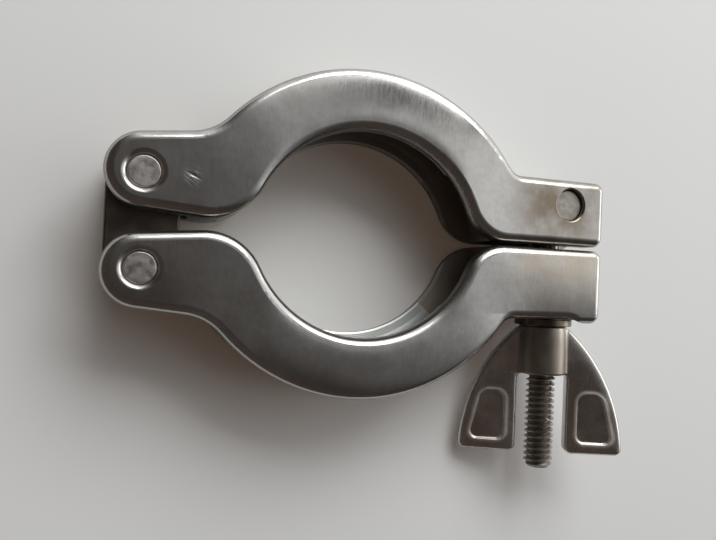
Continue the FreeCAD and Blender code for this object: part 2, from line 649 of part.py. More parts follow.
nut = new_body("wing_nut")
nut.Placement = FreeCAD.Placement(V(), FreeCAD.Rotation(V(0, -1, 0), size("nut_turn")))
nut.setExpression("Placement.Base.x", "dims.bolt_x")
nut.setExpression("Placement.Base.y", f"-dims.seat_offset - ({under}) - dims.washer_thickness"
                                      " - dims.nut_face_play")
nut.setExpression("Placement.Rotation.Angle", "dims.nut_turn")

# Both wings and the bar between them are one outline, which the hub then covers.

wings = new_sketch(nut, "wings_outline", XY)
head, gap, span = size("wing_head"), size("wing_gap"), size("wing_span")
shoulder, tip = -size("wing_shoulder"), -size("wing_length")
foot = -size("hub_length")
right = [V(head, shoulder, 0), V(span, tip, 0), V(gap, tip, 0), V(gap, foot, 0)]
left = [V(-point.x, point.y, 0) for point in right]
crest = V(size("wing_bulge"), tip / 2, 0)
bow = Part.Circle(right[0], crest, right[1])
wings.addGeometry(Part.LineSegment(left[0], right[0]))
wings.addGeometry(arc(bow.Center, bow.Radius, right[1], right[0]))
wings.addGeometry(Part.LineSegment(right[1], right[2]))
wings.addGeometry(Part.LineSegment(right[2], right[3]))
wings.addGeometry(Part.LineSegment(right[3], left[3]))
wings.addGeometry(Part.LineSegment(left[3], left[2]))
wings.addGeometry(Part.LineSegment(left[2], left[1]))
wings.addGeometry(arc(V(-bow.Center.x, bow.Center.y, 0), bow.Radius, left[0], left[1]))
crest_point = wings.addGeometry(Part.Point(crest), True)
for first, first_end, second, second_end in (
        (0, END, 1, END), (1, START, 2, START), (2, END, 3, START), (3, END, 4, START),
        (4, END, 5, START), (5, END, 6, START), (6, END, 7, END), (7, START, 0, START)):
    wings.addConstraint(Sketcher.Constraint("Coincident", first, first_end, second, second_end))
for first, first_end, second, second_end in (
        (0, START, 0, END), (1, START, 7, END), (2, END, 5, END), (4, START, 4, END)):
    wings.addConstraint(
        Sketcher.Constraint("Symmetric", first, first_end, second, second_end, V_AXIS))
wings.addConstraint(Sketcher.Constraint("Equal", 1, 7))
wings.addConstraint(Sketcher.Constraint("Horizontal", 2))
wings.addConstraint(Sketcher.Constraint("Vertical", 3))
wings.addConstraint(Sketcher.Constraint("PointOnObject", crest_point, START, 1))
for label, expression, at, value in (
        ("head", "dims.wing_head", (0, END), head), ("span", "dims.wing_span", (1, START), span),
        ("gap", "dims.wing_gap", (2, END), gap),
        ("bulge", "dims.wing_bulge", (crest_point, START), size("wing_bulge"))):
    drive(wings, label, expression, "DistanceX", *ORIGIN, *at, value)
for label, expression, at, value in (
        ("shoulder", "dims.wing_shoulder", (0, END), -shoulder),
        ("tip", "dims.wing_length", (1, START), -tip),
        ("foot", "dims.hub_length", (4, START), -foot),
        ("crest", "dims.wing_length/2", (crest_point, START), -tip / 2)):
    drive(wings, label, expression, "DistanceY", *at, *ORIGIN, value)
doc.recompute()
solid_feature(nut, "Pad", "wings", wings, Length="dims.wing_root", SideType="Symmetric")

# Both faces of each wing close towards the tip.

for sign in (1, -1):
    for face in (1, -1):
        tag = f"{'right' if sign > 0 else 'left'}_{'top' if face > 0 else 'bottom'}"
        wedge = new_sketch(nut, f"taper_{tag}", XZ)
        bar, past, half = size("wing_bar"), size("wing_span") + 2, size("wing_root") / 2
        drop = (past - bar) * math.tan(math.radians(size("wing_taper")))
        corners = [V(sign * bar, face * half, 0), V(sign * past, face * (half - drop), 0),
                   V(sign * past, face * half, 0)]
        for a, b in zip(corners, corners[1:] + corners[:1]):
            wedge.addGeometry(Part.LineSegment(a, b))
        for a in range(3):
            wedge.addConstraint(Sketcher.Constraint("Coincident", a, END, (a + 1) % 3, START))
        wedge.addConstraint(Sketcher.Constraint("Horizontal", 2))
        wedge.addConstraint(Sketcher.Constraint("Vertical", 1))
        for label, expression, value, at in (("inboard", "dims.wing_bar", bar, (0, START)),
                                             ("past", "dims.wing_span + 2", past, (1, START))):
            ends = (*ORIGIN, *at) if sign > 0 else (*at, *ORIGIN)
            drive(wedge, label, expression, "DistanceX", *ends, value)
        for label, expression, value, at in (
                ("root", "dims.wing_root/2", half, (0, START)),
                ("tip", "dims.wing_root/2 - (dims.wing_span + 2 - dims.wing_bar)"
                 " * tan(dims.wing_taper * 1deg)", half - drop, (1, START))):
            ends = (*ORIGIN, *at) if face > 0 else (*at, *ORIGIN)
            drive(wedge, label, expression, "DistanceY", *ends, value)
        doc.recompute()
        cut(nut, "Pocket", f"taper_{tag}_cut", wedge, Type="ThroughAll", SideType="Symmetric")

doc.recompute()
for sign in (1, -1):
    for x in (size("wing_gap"), size("wing_span")):
        edge = upright_near(nut.Tip.Shape, sign * x, -size("wing_length"))
        dress(nut, "Fillet", "wing_corner", same_edge(edge), "dims.wing_corner")
    edge = upright_near(nut.Tip.Shape, sign * size("wing_gap"), -size("hub_length"))
    dress(nut, "Fillet", "wing_crotch", same_edge(edge), "dims.wing_crotch")


def wing_rim(edge):
    """An edge along a wing's outline, on one face of it and outside the hub."""
    ends = [vertex.Point for vertex in edge.Vertexes]
    middle = edge.valueAt((edge.FirstParameter + edge.LastParameter) / 2)
    outside = abs(middle.x) > size("wing_gap") - 0.01 and middle.y < shoulder
    one_face = all(point.z * middle.z > 0.25 for point in ends)
    return outside and one_face


dress(nut, "Fillet", "wing_edge", wing_rim, "dims.wing_edge")

# Hub, a cone with rounded ends; the cone is fixed by its diameters at both ends

hub = new_sketch(nut, "hub_section", XY)
core, edge_round, foot = size("bolt_diameter") / 4, size("hub_edge"), -size("hub_length")
cone_top, cone_foot = V(size("hub_top_diameter") / 2, 0, 0), V(size("hub_foot_diameter") / 2, foot, 0)
down = (cone_foot - cone_top).normalize()
outward = V(-down.y, down.x, 0)
top_x = cone_top.x - edge_round * (1 - down.x) / abs(down.y)
foot_x = cone_foot.x - edge_round * (1 + down.x) / abs(down.y)
top_centre, foot_centre = V(top_x, -edge_round, 0), V(foot_x, foot + edge_round, 0)
top_side, foot_side = top_centre + outward * edge_round, foot_centre + outward * edge_round
hub.addGeometry(Part.LineSegment(V(core, 0, 0), V(top_x, 0, 0)))
hub.addGeometry(arc(top_centre, edge_round, top_side, V(top_x, 0, 0)))
hub.addGeometry(Part.LineSegment(top_side, foot_side))
hub.addGeometry(arc(foot_centre, edge_round, V(foot_x, foot, 0), foot_side))
hub.addGeometry(Part.LineSegment(V(foot_x, foot, 0), V(core, foot, 0)))
hub.addGeometry(Part.LineSegment(V(core, foot, 0), V(core, 0, 0)))
for kind, first, first_end, second, second_end in (
        ("Tangent", 0, END, 1, END), ("Tangent", 1, START, 2, START),
        ("Tangent", 2, END, 3, END), ("Tangent", 3, START, 4, START),
        ("Coincident", 4, END, 5, START), ("Coincident", 5, END, 0, START)):
    hub.addConstraint(Sketcher.Constraint(kind, first, first_end, second, second_end))
hub.addConstraint(Sketcher.Constraint("PointOnObject", 0, START, H_AXIS))
hub.addConstraint(Sketcher.Constraint("Horizontal", 0))
hub.addConstraint(Sketcher.Constraint("Horizontal", 4))
hub.addConstraint(Sketcher.Constraint("Vertical", 5))
top_point = hub.addGeometry(Part.Point(cone_top), True)
foot_point = hub.addGeometry(Part.Point(cone_foot), True)
hub.addConstraint(Sketcher.Constraint("PointOnObject", top_point, START, 2))
hub.addConstraint(Sketcher.Constraint("PointOnObject", foot_point, START, 2))
hub.addConstraint(Sketcher.Constraint("PointOnObject", top_point, START, H_AXIS))
hub.addConstraint(Sketcher.Constraint("PointOnObject", foot_point, START, 4))
for label, index in (("top_round", 1), ("foot_round", 3)):
    drive(hub, label, "dims.hub_edge", "Radius", index, edge_round)
drive(hub, "core", "dims.bolt_diameter/4", "DistanceX", *ORIGIN, 0, START, core)
drive(hub, "hub_top", "dims.hub_top_diameter/2", "DistanceX", *ORIGIN, top_point, START, cone_top.x)
drive(hub, "hub_foot", "dims.hub_foot_diameter/2", "DistanceX",
      *ORIGIN, foot_point, START, cone_foot.x)
drive(hub, "length", "dims.hub_length", "DistanceY", 4, START, *ORIGIN, -foot)
doc.recompute()
solid_feature(nut, "Revolution", "hub", hub, ReferenceAxis=(hub, ["V_Axis"]), Angle="360")


def hub_seam(edge):
    """Where a wing face runs into the side of the hub, along the bolt."""
    middle = edge.valueAt((edge.FirstParameter + edge.LastParameter) / 2)
    reach = math.hypot(middle.x, middle.z)
    on_cone = abs(reach - cone_top.x - middle.y / foot * (cone_foot.x - cone_top.x)) < 0.05
    return on_cone and foot < middle.y < 0 and edge.BoundBox.YLength > size("hub_length") / 2


dress(nut, "Fillet", "wing_blend", hub_seam, "dims.wing_blend")


# Each panel keeps its walls to the wing's edges

panel_inside = "dims.wing_gap + dims.panel_inset"
panel_head = "dims.wing_bulge - dims.panel_head_wall"
panel_foot = "dims.wing_span - dims.panel_foot_wall"
foot_level = "dims.wing_length - dims.panel_toe"
head_level = f"{foot_level} - dims.panel_length"


def panel(sign, face):
    """Dished panel: straight side along the bolt, slanted side along the bowed edge."""
    tag = f"{'right' if sign > 0 else 'left'}_{'top' if face > 0 else 'bottom'}"
    level = (f"dims.wing_root/2 - dims.panel_depth - (({panel_inside} + {panel_foot})/2"
             f" - dims.wing_bar) * tan(dims.wing_taper * 1deg)")
    sketch = new_sketch(nut, f"panel_{tag}", XY, level if face > 0 else f"-({level})")
    head, foot = size_of(head_level), size_of(foot_level)
    sides = [(panel_inside, head), (panel_head, head), (panel_foot, foot), (panel_inside, foot)]
    points = [V(sign * size_of(side), -y, 0) for side, y in sides]
    for a, b in zip(points, points[1:] + points[:1]):
        sketch.addGeometry(Part.LineSegment(a, b))
    for a in range(4):
        sketch.addConstraint(Sketcher.Constraint("Coincident", a, END, (a + 1) % 4, START))
    sketch.addConstraint(Sketcher.Constraint("Horizontal", 0))
    sketch.addConstraint(Sketcher.Constraint("Horizontal", 2))
    sketch.addConstraint(Sketcher.Constraint("Vertical", 3))
    for index, (side, _) in enumerate(sides[:3]):
        ends = (*ORIGIN, index, START) if sign > 0 else (index, START, *ORIGIN)
        drive(sketch, f"x{index}", side, "DistanceX", *ends, size_of(side))
    drive(sketch, "head", head_level, "DistanceY", 0, START, *ORIGIN, head)
    drive(sketch, "length", "dims.panel_length", "DistanceY", 2, START, 1, START, foot - head)
    doc.recompute()
    cut(nut, "Pocket", f"panel_{tag}_cut", sketch, Type="ThroughAll", Reversed=face > 0)


for sign in (1, -1):
    for face in (1, -1):
        panel(sign, face)


def panel_corner(sides, level):
    """The upright edges of all four panels at some of their corners."""
    spots = [(sign * size_of(side), -size_of(level)) for side in sides for sign in (1, -1)]

    def test(edge):
        box = edge.BoundBox
        upright = box.XLength + box.YLength < 1e-4
        return upright and any(math.hypot(box.Center.x - x, box.Center.y - y) < 1e-3
                               for x, y in spots)

    return test


# The head's corners take no more than its narrow side can hold.

head_width = f"({panel_head} - {panel_inside.replace('+', '-')})"
dress(nut, "Fillet", "panel_head_corner", panel_corner((panel_inside, panel_head), head_level),
      f"min(dims.panel_head_round; 0.45 * {head_width})")
dress(nut, "Fillet", "panel_foot_corner", panel_corner((panel_inside, panel_foot), foot_level),
      "dims.panel_foot_round")
floor_level = size_of("dims.wing_root/2 - dims.panel_depth") - (
    size_of(panel_inside) / 2 + size_of(panel_foot) / 2 - size("wing_bar")
) * math.tan(math.radians(size("wing_taper")))


def panel_rim(on_floor):
    """Edges round the floors of the panels, or round their mouths in the wing faces."""
    def test(edge):
        box = edge.BoundBox
        inside = size_of(panel_inside) - 0.01 < abs(box.Center.x) < size_of(panel_foot) + 0.01
        inside = inside and -size_of(foot_level) - 0.01 < box.YMin
        inside = inside and box.YMax < 0.01 - size_of(head_level)
        flat = box.ZLength < 1e-4 and abs(abs(box.Center.z) - floor_level) < 1e-3
        level = min(abs(box.ZMin), abs(box.ZMax))
        upright = box.XLength + box.YLength < 1e-4
        return inside and (flat if on_floor else not upright and level > floor_level + 0.1)

    return test


dress(nut, "Fillet", "panel_floor_edge", panel_rim(True), "dims.panel_edge")
dress(nut, "Fillet", "panel_mouth_edge", panel_rim(False), "dims.panel_edge")
bore = circle_sketch(nut, "bore_circle", (("0", 0.0), ("0", 0.0)),
                     ("dims.bolt_diameter + 2 * dims.nut_play",
                      size("bolt_diameter") + 2 * size("nut_play")), None, XZ)
cut(nut, "Pocket", "bore", bore, Type="ThroughAll", SideType="Symmetric")

# Every feature is sound before the pieces are written

doc.recompute()
for item in doc.Objects:
    if "Invalid" in item.State or "Error" in item.State:
        raise RuntimeError(f"{item.Label}: {item.getStatusString()}")
    if hasattr(item, "Shape") and item.TypeId.startswith("PartDesign"):
        if item.Shape.isNull() or not item.Shape.isValid():
            raise RuntimeError(f"{item.Label} has no sound shape")
for body in BODIES:
    if len(body.Shape.Solids) != 1:
        raise RuntimeError(f"{body.Label} is not one solid")
    print(body.Label, round(body.Shape.Volume, 1), "cubic millimetres")
    body.Shape.exportStep(f"parts/{body.Label}.step")
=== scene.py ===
# %% [markdown]
# A hinged vacuum flange clamp, dressed for its photograph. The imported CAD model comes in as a
# fixed frame: its solids already have the true form, so most of them stay and only get a
# finish. Only the bolt is modelled again here, because its thread is too fine for the solids.

import math
from functools import partial

import bpy
from mathutils import Matrix, Vector


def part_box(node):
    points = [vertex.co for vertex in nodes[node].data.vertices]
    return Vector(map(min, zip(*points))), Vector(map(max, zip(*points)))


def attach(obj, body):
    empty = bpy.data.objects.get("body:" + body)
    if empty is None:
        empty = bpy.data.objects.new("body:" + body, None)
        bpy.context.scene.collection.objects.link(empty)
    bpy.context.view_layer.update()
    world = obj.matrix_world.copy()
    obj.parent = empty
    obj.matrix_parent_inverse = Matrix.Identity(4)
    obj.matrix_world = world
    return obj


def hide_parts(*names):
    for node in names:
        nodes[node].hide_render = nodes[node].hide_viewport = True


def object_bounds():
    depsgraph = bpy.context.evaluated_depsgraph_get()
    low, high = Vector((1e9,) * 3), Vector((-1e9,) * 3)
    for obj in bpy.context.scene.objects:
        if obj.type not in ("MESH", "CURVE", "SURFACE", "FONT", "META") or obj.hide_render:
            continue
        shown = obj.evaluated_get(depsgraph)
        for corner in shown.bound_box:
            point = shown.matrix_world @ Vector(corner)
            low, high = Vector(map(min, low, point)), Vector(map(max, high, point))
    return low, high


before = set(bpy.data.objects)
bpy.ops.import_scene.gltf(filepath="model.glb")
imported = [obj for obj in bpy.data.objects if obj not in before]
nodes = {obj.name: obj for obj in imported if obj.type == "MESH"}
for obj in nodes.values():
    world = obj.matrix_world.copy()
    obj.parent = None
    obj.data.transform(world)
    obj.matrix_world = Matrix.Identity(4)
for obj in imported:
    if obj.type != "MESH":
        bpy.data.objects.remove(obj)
cad_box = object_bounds()
print("CAD box", cad_box)

# %% [markdown]
# Blender works in metres and in linear light. The sizes of this clamp are easier to read in
# millimetres, and its colours as the hex values of a paint chart, so two small helpers turn
# one into the other.

# %% Units and colours
MM = 0.001


def linear(hex_colour):
    """An sRGB hex colour as the linear RGBA that Blender's sockets take."""
    channels = [int(hex_colour[i:i + 2], 16) / 255 for i in (1, 3, 5)]
    return [c / 12.92 if c <= 0.04045 else ((c + 0.055) / 1.055) ** 2.4 for c in channels] + [1]


print("mid grey in linear light", linear("#808080")[0])

# %% [markdown]
# Every finish below is a small network of nodes. One helper adds a node of any kind, sets it
# up, and gives back one of its outputs, so that the next node can take it. Inputs come as a
# list in the node's own order, or as a dict by name or number. What is itself a socket gets
# linked, and anything else becomes the input's value. A new material hands out the helper
# already tied to its own tree, under the short name add.

# %% Node helper


def add_node(tree, kind, inputs=(), out=0, **settings):
    """Adds a node, sets its properties, fills or links its inputs, and gives one output."""
    node = tree.nodes.new("ShaderNode" + kind)
    for name, value in settings.items():
        setattr(node, name, value)
    sockets = inputs if isinstance(inputs, dict) else dict(enumerate(inputs))
    for socket, value in sockets.items():
        if isinstance(value, bpy.types.NodeSocket):
            tree.links.new(value, node.inputs[socket])
        else:
            node.inputs[socket].default_value = value
    return node.outputs[out]


def new_material(name):
    """A node material, the helper for its tree, and the place of each point in metres."""
    material = bpy.data.materials.new(name)
    material.use_nodes = True
    add = partial(add_node, material.node_tree)
    return material, add, add("TexCoord", out="Object")


print("node helper ready")

# %% [markdown]
# No metal surface is the same all over. The finishes below share two patterns: soft clouds
# for the wear of handling, and fine scratches drawn out along one direction. Both read the
# point's place in metres, so a size in millimetres is the size on the real part. Noise seldom
# strays far from a half, so a cloud is read between 0.35 and 0.65.
#
# A hairline scratch or the grain of a belt is really a few hundredths of a millimetre wide.
# One pixel of this picture covers about 0.2 mm, so such lines are too fine to show, and all
# of them are drawn coarser here, 0.1 to 0.3 mm wide.

# %% Clouds and scratches
CLOUD_BAND = (0.35, 0.65)


def cloud(add, place, size_mm, seed, detail=3.0):
    """Soft patches of about one size, 0 to 1 round a half."""
    moved = add("Mapping", {"Vector": place, "Location": (seed, seed, 0)})
    return add("TexNoise", {"Vector": moved, "Scale": 1 / (size_mm * MM), "Detail": detail})


def scratches(add, place, angle, length_mm, width_mm, seed):
    """Fine lines: noise drawn out along one direction, about the flange axis."""
    turned = add("Mapping", {
        "Vector": place, "Location": (seed / 20, 0, 0), "Rotation": (0, 0, math.radians(angle)),
        "Scale": (length_mm * MM, width_mm * MM, width_mm * MM)}, vector_type="TEXTURE")
    return add("TexNoise", {"Vector": turned, "Scale": 1.0, "Detail": 2.0, "Roughness": 0.6})


print("clouds are read between", CLOUD_BAND)

# %% [markdown]
# A pattern is one number at each point of the surface. Patterns are added up to make a
# roughness or a height, each with its share. A mask is a pattern that says where on the clamp
# something is: 1 there, 0 elsewhere, often with a soft border.

# %% Sums and masks


def total(add, *patterns):
    """Sum of patterns or numbers; a pair is a pattern and the share of it that counts."""
    result = None
    for pattern in patterns:
        if isinstance(pattern, tuple):
            pattern = add("Math", pattern, operation="MULTIPLY")
        result = pattern if result is None else add("Math", [result, pattern], operation="ADD")
    return result


def bell(add, offset, width):
    """1 where the offset is nothing, falling away on both sides over about the width."""
    ratio = add("Math", [offset, width], operation="DIVIDE")
    squared = add("Math", [ratio, ratio], operation="MULTIPLY")
    falling = add("Math", [squared, -1.0], operation="MULTIPLY")
    return add("Math", [falling], operation="EXPONENT")


def distance(add, place, axes):
    """Distance from the origin, counted along the chosen axes alone."""
    kept = add("VectorMath", [place, axes], operation="MULTIPLY")
    return add("VectorMath", [kept], "Value", operation="LENGTH")


def near(add, place, centre_mm, reach_mm):
    """1 within the inner reach of a place, 0 past the outer one."""
    centre = [c * MM for c in centre_mm]
    gap = add("VectorMath", [place, centre], "Value", operation="DISTANCE")
    return add("MapRange", [gap, reach_mm[0] * MM, reach_mm[1] * MM, 1, 0],
               interpolation_type="SMOOTHSTEP")


print("sums and masks ready")

# %% [markdown]
# Three things make a metal look like itself: its tone, how rough it is, and the small relief
# that bends its reflections. Tones are laid over each other like thin paint, each where its
# mask is. Relief is laid up the same way, the widest first, and its height is given in
# millimetres too.

# %% Tone and relief
MIX_FACTOR, MIX_UNDER, MIX_OVER, MIX_RESULT = 0, 6, 7, 2  # a Mix node's sockets for colours


def layer_tones(add, clouds, dark, light, *layers):
    """Two tones mixed by clouds, and over them further tones, each with its mask."""
    factor = add("MapRange", [clouds, *CLOUD_BAND, 0, 1])
    tone = add("Mix", {MIX_FACTOR: factor, MIX_UNDER: linear(dark), MIX_OVER: linear(light)},
               MIX_RESULT, data_type="RGBA")
    for mask, colour in layers:
        tone = add("Mix", {MIX_FACTOR: mask, MIX_UNDER: tone, MIX_OVER: linear(colour)},
                   MIX_RESULT, data_type="RGBA")
    return tone


def layer_relief(add, *layers):
    """Relief from patterns, each with its height in millimetres and its strength."""
    normal = None
    for pattern, height_mm, strength in layers:
        inputs = {"Height": pattern, "Distance": height_mm * MM, "Strength": strength}
        if normal is not None:
            inputs["Normal"] = normal
        normal = add("Bump", inputs)
    return normal


print("tone and relief helpers ready")

# %% Finish and dress


def finish_metal(material, colour, rough, normal):
    """Bare metal: fully metallic, with its tone, roughness and relief linked."""
    tree = material.node_tree
    shader = tree.nodes["Principled BSDF"]
    for socket, value in (("Base Color", colour), ("Roughness", rough), ("Normal", normal)):
        tree.links.new(value, shader.inputs[socket])
    shader.inputs["Metallic"].default_value = 1.0
    return material


def dress(material, *names):
    """Gives CAD nodes a finish; their meshes stay as they are."""
    for name in names:
        slots = nodes[name].data.materials
        slots.clear()
        slots.append(material)
    print(material.name, "on", ", ".join(names))


print("finish helpers ready")

# %% [markdown]
# Investment cast stainless steel, the halves of the clamp. The wax pattern leaves faces that
# are not quite flat, and tumbling with abrasive chips gives them a satin skin with soft edges:
# reflections are wide and waver a little. The belt that linishes the faces leaves a faint
# grain and never touches the walls, so these keep a duller skin. Their darker tone is partly
# that skin and partly painted shade, which dims the table's reflection along the outline. The
# groove's darker tone is partly its as-cast skin, which chips reach badly, and partly painted
# shade in the recess. Where the seat has been turned on a lathe, it gets a tone of painted
# light instead. An image painted by hand could tell these zones apart, but it would not follow
# a change of size, so the masks here are worked out from the part's own sizes.

# %% Where the groove is
LIP_RADIUS_MM = 23.1
LIP_EDGE_MM = 5.8  # off the middle plane, where a lip turns over into the groove
LIP_EDGE_WIDTH_MM = 0.35
GROOVE_REACH_MM = 29.0
GROOVE_HALF_MM = 5.9
SEAT_LIMIT_MM = 28.05  # nearer the axis than this, the groove's floor is the turned seat
SEAT_HALF_ANGLE = math.radians(45.5)


def about_axis(add, place, centre_y_mm):
    """Place moved to an arc's centre, and its distance from that centre's axis."""
    moved = add("VectorMath", [place, (0, -centre_y_mm * MM, 0)], operation="ADD")
    return moved, distance(add, moved, (1, 1, 0))


def groove_masks(add, place, centre_y_mm, crown_side):
    """Where the groove is, where in it the turned seat is, and the distance from the axis."""
    moved, radius = about_axis(add, place, centre_y_mm)
    parts = add("SeparateXYZ", [moved]).node.outputs
    width = add("Math", [parts["Z"]], operation="ABSOLUTE")
    in_reach = add("Math", [radius, GROOVE_REACH_MM * MM], operation="LESS_THAN")
    in_width = add("Math", [width, GROOVE_HALF_MM * MM], operation="LESS_THAN")
    groove = add("Math", [in_reach, in_width], operation="MULTIPLY")

    towards_y = add("Math", [parts["Y"], radius], operation="DIVIDE")
    crown = add("Math", [towards_y, crown_side], operation="MULTIPLY")
    by_crown = add("Math", [crown, math.cos(SEAT_HALF_ANGLE)], operation="GREATER_THAN")
    shallow = add("Math", [radius, SEAT_LIMIT_MM * MM], operation="LESS_THAN")
    on_seat = add("Math", [by_crown, shallow], operation="MULTIPLY")
    return groove, add("Math", [groove, on_seat], operation="MULTIPLY"), radius


print("groove between radius", LIP_RADIUS_MM, "and", GROOVE_REACH_MM, "mm")

# %% Edges of the lips


def lip_edges(add, place, centre_y_mm):
    """The thin edge of each lip where it turns over into the groove."""
    moved, radius = about_axis(add, place, centre_y_mm)
    height = add("Math", [add("SeparateXYZ", [moved], "Z")], operation="ABSOLUTE")
    offset = add("Math", [height, LIP_EDGE_MM * MM], operation="SUBTRACT")
    edge = bell(add, offset, LIP_EDGE_WIDTH_MM * MM)
    on_lip = add("Math", [radius, (LIP_RADIUS_MM + LIP_EDGE_WIDTH_MM) * MM],
                 operation="LESS_THAN")
    return add("Math", [edge, on_lip], operation="MULTIPLY")


print("lip edges", LIP_EDGE_MM, "mm off the middle plane")

# %% [markdown]
# Tumbling does not stop at the edges: each face falls away a little before its round begins.
# The fall is a tenth of a millimetre or so, far too little to change the outline, but polished
# metal shows it at once as a soft band. It could be modelled, but a CAD node's mesh is never
# changed. So it is drawn as a height that the Bump node reads, from the distance to the ring's
# inner and outer edges, and for the lower lug as a slow fall towards the nut.

# %% Soft fall of the faces to the ring's edges
BACK_RADIUS_MM = 37.1
EDGE_ROUND_MM = 1.8
ROLL_WIDTH_MM = 1.4
ROLL_DEPTH_MM = 0.16
INNER_REACH_MM = 22  # how far to each side of the crown the ring's edges roll
OUTER_REACH_MM = 26
FADE_START = 0.6     # the share of that reach at which the roll starts to fade


def rolled_edge(add, place, centre_y_mm, edge_mm, side, reach_mm):
    """Falls towards one arc of the outline; side is 1 where the face is outside the arc."""
    moved, radius = about_axis(add, place, centre_y_mm)
    inside = add("Math", [radius, edge_mm * MM], operation="SUBTRACT")
    inside = add("Math", [inside, -side / (ROLL_WIDTH_MM * MM)], operation="MULTIPLY")
    fall = add("Math", [add("Math", [inside, 0.0], operation="MINIMUM")], operation="EXPONENT")
    aside = add("Math", [add("SeparateXYZ", [moved], "X")], operation="ABSOLUTE")
    fade = add("MapRange", [aside, reach_mm * MM * FADE_START, reach_mm * MM, -1, 0],
               interpolation_type="SMOOTHERSTEP")
    return add("Math", [fall, fade], operation="MULTIPLY")


def ring_falls(add, place, seat_y_mm, back_y_mm):
    """Both edges of the ring: the lips' arc inside and the back's arc outside."""
    return total(add, rolled_edge(add, place, seat_y_mm, LIP_RADIUS_MM + EDGE_ROUND_MM, 1,
                                  INNER_REACH_MM),
                 rolled_edge(add, place, back_y_mm, BACK_RADIUS_MM - EDGE_ROUND_MM, -1,
                             OUTER_REACH_MM))


print("faces fall", ROLL_DEPTH_MM, "mm over", ROLL_WIDTH_MM, "mm")

# %% Walls, and the fall of the lower lug
WALL_TOP_MM = 7.5
WALL_FADE_MM = 0.6
LUG_FALL_X_MM = (20, 42)       # across the lug, where its slow fall starts and is complete
LUG_FALL_Y_MM = (-7.0, -17.5)  # towards the nut, the same
LUG_FALL_DEPTH_MM = 0.7


def side_walls(add, place):
    """1 on the walls below the rounds of the faces' edges, 0 on the faces."""
    height = add("Math", [add("SeparateXYZ", [place], "Z")], operation="ABSOLUTE")
    return add("MapRange", [height, WALL_TOP_MM * MM, (WALL_TOP_MM + WALL_FADE_MM) * MM, 1, 0],
               interpolation_type="SMOOTHSTEP")


def lug_fall(add, place):
    """Slow fall of the lower lug's face towards the nut."""
    parts = add("SeparateXYZ", [place]).node.outputs
    down = add("MapRange", [parts["Y"], *(y * MM for y in LUG_FALL_Y_MM), 0, 1])
    there = add("MapRange", [parts["X"], *(x * MM for x in LUG_FALL_X_MM), 0, 1],
                interpolation_type="SMOOTHERSTEP")
    curved = add("Math", [down, 2.0], operation="POWER")
    fall = add("Math", [curved, there], operation="MULTIPLY")
    return add("Math", [fall, -1.0], operation="MULTIPLY")


print("lower lug falls", LUG_FALL_DEPTH_MM, "mm")

# %% [markdown]
# The halves are mirror images in shape but not in wear or light, so each has a few values of
# its own. Close to the bolt the lugs have a faint straw tint of old heat, stronger on the upper
# one. The turned seats get tones of painted light: the lower one brighter, for the light it
# catches, and the upper one darker, as painted shade. One material for both would be shorter,
# but could not give the two their own tints.

# %% The halves' own values
# The seats' tones here are painted light: brighter on the lower seat, painted shade on the upper
# one.
HALVES = {
    "upper": {"seat_y_mm": -6.0, "back_y_mm": -8.3, "crown_side": 1.0, "lug_falls": False,
              "seat_painted_light": "#80776D", "heat_spot_mm": (42, 6.5, 8.6), "heat_tone": "#877B6C"},
    "lower": {"seat_y_mm": 0.0, "back_y_mm": 2.3, "crown_side": -1.0, "lug_falls": True,
              "seat_painted_light": "#A6A8A4", "heat_spot_mm": (43, -5, 8.6), "heat_tone": "#C6BAAC"},
}
HEAT_REACH_MM = (3, 17)


def cast_zones(add, place, half):
    """Masks for the parts of one half that were worked or worn differently."""
    groove, seat, radius = groove_masks(add, place, half["seat_y_mm"], half["crown_side"])
    outside = add("Math", [1.0, groove], operation="SUBTRACT")
    walls = add("Math", [side_walls(add, place), outside], operation="MULTIPLY")
    patchy = add("MapRange", [cloud(add, place, size_mm=5, seed=8.8), 0.34, 0.6, 0.5, 1])
    hot = near(add, place, half["heat_spot_mm"], HEAT_REACH_MM)
    return {"groove": groove, "seat": seat, "radius": radius, "outside": outside,
            "walls": walls, "lips": lip_edges(add, place, half["seat_y_mm"]),
            "heat": add("Math", [hot, patchy], operation="MULTIPLY")}


print("heat tint reaches", HEAT_REACH_MM[1], "mm from the bolt")

# %% [markdown]
# Use leaves its own marks: hairline scratches that run two ways over the faces, and one nick
# with a scuff round it beside the upper hinge pin. A nick could be cut with a boolean, but it
# is only 0.05 mm deep, and its glint is all that the eye gets, so it is relief in the finish.

# %% Marks of use
NICK_PLACE_MM = (-33.4, 5.2, 8.6)
NICK_ANGLE = -30
NICK_SIZE_MM = (0.9, 0.24, 2)  # half its length, half its width, and its reach into the face
NICK_DEPTH_MM = 0.05
SCUFF_REACH_MM = (0.6, 2.6)


def nick(add, place):
    """The nick, deepest in its middle: a bell of height 1 drawn out along one direction."""
    drawn = add("Mapping", {
        "Vector": place, "Location": [c * MM for c in NICK_PLACE_MM],
        "Rotation": (0, 0, math.radians(NICK_ANGLE)),
        "Scale": [c * MM for c in NICK_SIZE_MM]}, vector_type="TEXTURE")
    return bell(add, add("VectorMath", [drawn], "Value", operation="LENGTH"), 1.0)


